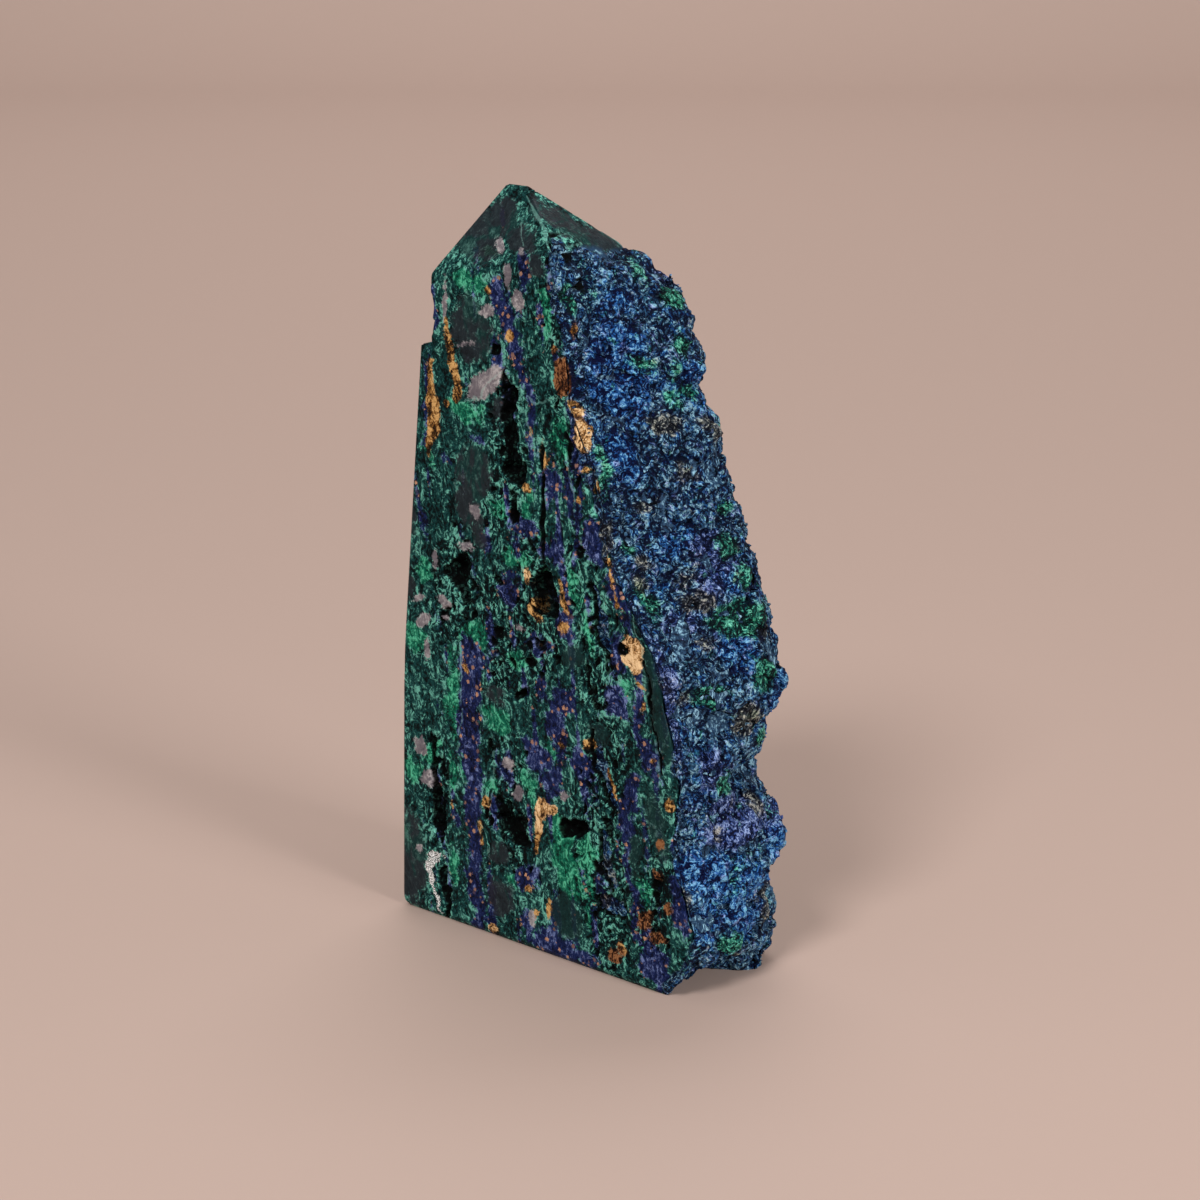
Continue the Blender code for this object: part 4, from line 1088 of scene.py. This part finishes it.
def crust_ore(lace_tree):
    """The natural crust: curly grains of azurite, lighter on their crests and almost black between them by painted
    light and shade, with limonite in the places that it shares with the front. Towards the foot it is paler, and
    everywhere its blue turns vivid, violet, green or brown in small patches."""
    material, s, shader = new_material("azurite_druse")
    place = s.millimetres()
    grit = s.noise(place, 3.2, 4.0, 0.7)
    frayed = s.noise(place, 0.8, 8.0, 0.85)

    def edge(name, most, fray=1.6):
        return s.span(s.sway(s.value(name), frayed, fray), 0.36, 0.64, 0.0, most)

    swing = lace(s, lace_tree, place, 0.82, 1.1, 0.7, 0.44)[0]
    swing = lace(s, lace_tree, place, 0.55, 0.9, 0.7, 0.44, swing)[0]
    # Painted light and shade: lighter where the crust is high, darker in its crevices
    light = s.math("ADD", s.plus(0.33, s.value("height"), 0.34), swing)
    light = s.sway(s.plus(light, s.value("crevice_shade"), -0.30), grit, 0.9)
    light = s.sway(light, s.noise(place, 0.4, 4.0, 0.65), 0.6)
    light = s.math("ADD", light, s.span(s.parts(place)[2], 62.0, 20.0, 0.02, 0.14))
    hue = s.noise(place, 0.75, 4.0, 0.65, 0.6)
    other_hue = s.noise(place, 0.55, 4.0, 0.7, 0.4)
    vivid = s.larger(edge("vivid", 1.0), s.span(hue, 0.53, 0.60, 0.0, 0.9))
    purple = s.larger(edge("purple", 0.8), s.span(hue, 0.44, 0.38, 0.0, 0.8))
    green = s.larger(edge("green", 0.85), s.span(other_hue, 0.60, 0.68, 0.0, 0.6))
    brown = s.larger(edge("brown", 0.8), s.span(other_hue, 0.38, 0.30, 0.0, 0.6))
    colour = crust_tones(s, vivid, green, brown, purple, light)
    limonite = limonite_tones(s, s.math("ADD", light, 0.2), "natural", 0.0)
    colour = s.mix(edge("limonite", 1.0, 1.2), colour, limonite)
    s.finish(shader, colour, s.span(grit, 0.3, 0.7, 0.5, 0.7), 0.10, s.plus(grit, swing, 3.0), 0.8)
    return material


def blade_ore():
    """The small crystals: each one tone of the crust's colours, with shiny faces."""
    material, s, shader = new_material("azurite_crystals")
    light = s.sway(s.plus(0.2, s.value("tone"), 0.4), s.noise(s.millimetres(), 2.2), 1.0)
    shares = [s.span(s.value(name), 0.4, 0.6) for name in ("vivid", "green", "brown", "purple")]
    s.finish(shader, crust_tones(s, *shares, light), 0.42, 0.25)
    return material


def dress(obj):
    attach(obj, BODY)
    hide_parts(NODE)


def plain_floor():
    """A pale matt floor that rises into a backdrop by a quarter circle, away from the camera."""
    material, _, shader = new_material("pale_floor")
    shader.inputs["Base Color"].default_value = linear(*FLOOR_COLOUR)
    shader.inputs["Roughness"].default_value = 0.6
    near, reach, bend, top, half_width = -3.0, 1.4, 0.5, 4.0, 4.0
    turn = np.linspace(0, math.pi / 2, 24)
    curve = np.stack([reach + bend * np.sin(turn), bend - bend * np.cos(turn)], axis=-1)
    profile = np.concatenate([[[near, 0.0]], curve, [[reach + bend, top]]])
    away = np.array([-math.sin(math.radians(CAMERA_ROUND)), math.cos(math.radians(CAMERA_ROUND)), 0.0])
    along = np.array([away[1], -away[0], 0.0])
    upwards = np.array([0.0, 0.0, 1.0])
    points = [away * run + along * side + upwards * rise for run, rise in profile for side in (-half_width, half_width)]
    faces = [(2 * i, 2 * i + 1, 2 * i + 3, 2 * i + 2) for i in range(len(profile) - 1)]
    mesh = bpy.data.meshes.new("pale_floor")
    mesh.from_pydata([tuple(point) for point in points], [], faces)
    mesh.polygons.foreach_set("use_smooth", np.ones(len(faces), bool))
    mesh.materials.append(material)
    floor = bpy.data.objects.new("pale_floor", mesh)
    bpy.context.scene.collection.objects.link(floor)


def soft_light(name, place, aim, size, power):
    """A round area lamp at a place, turned to a point."""
    lamp = bpy.data.lights.new(name, "AREA")
    lamp.shape, lamp.size, lamp.energy = "DISK", size, power
    obj = bpy.data.objects.new(name, lamp)
    obj.location = place
    away = np.array(place) - np.array(aim)
    obj.rotation_euler = (math.atan2(math.hypot(away[0], away[1]), away[2]), 0.0, math.atan2(away[0], -away[1]))
    bpy.context.scene.collection.objects.link(obj)


def studio():
    """Soft light from the front and from the right, a lamp on the backdrop, and a pale room."""
    world = bpy.data.worlds.new("pale_room")
    world.use_nodes = True
    room = world.node_tree.nodes["Background"].inputs
    room["Color"].default_value = (1.0, 0.96, 0.93, 1.0)
    room["Strength"].default_value = 0.34
    bpy.context.scene.world = world
    soft_light("key", (0.25, -0.8, 0.85), (0, 0, 0.05), 0.35, 9.0)
    soft_light("side", (1.0, -0.05, 0.36), (0, 0, 0.045), 0.35, 9.0)
    soft_light("backdrop", (-0.6, 0.7, 1.6), (-1.2, 1.3, 0.3), 1.2, 18.0)
    bpy.context.scene.view_settings.view_transform = "Standard"


def camera():
    """The photograph's standpoint."""
    data = bpy.data.cameras.new("camera")
    data.lens, data.sensor_width = 90.0, 36.0
    data.clip_start, data.clip_end = 0.01, 20.0
    obj = bpy.data.objects.new("camera", data)
    obj.location = CAMERA_PLACE
    obj.rotation_euler = (math.radians(90 - CAMERA_DOWN), 0.0, math.radians(CAMERA_ROUND))
    bpy.context.scene.collection.objects.link(obj)
    bpy.context.scene.camera = obj


def main():
    lace_tree = lace_group()
    dress(ore_body(polished_ore(lace_tree)))
    crust, points, cover, values = azurite_crust(crust_ore(lace_tree))
    dress(crust)
    dress(azurite_blades(points, cover, values, blade_ore()))
    plain_floor()
    studio()
    camera()


main()
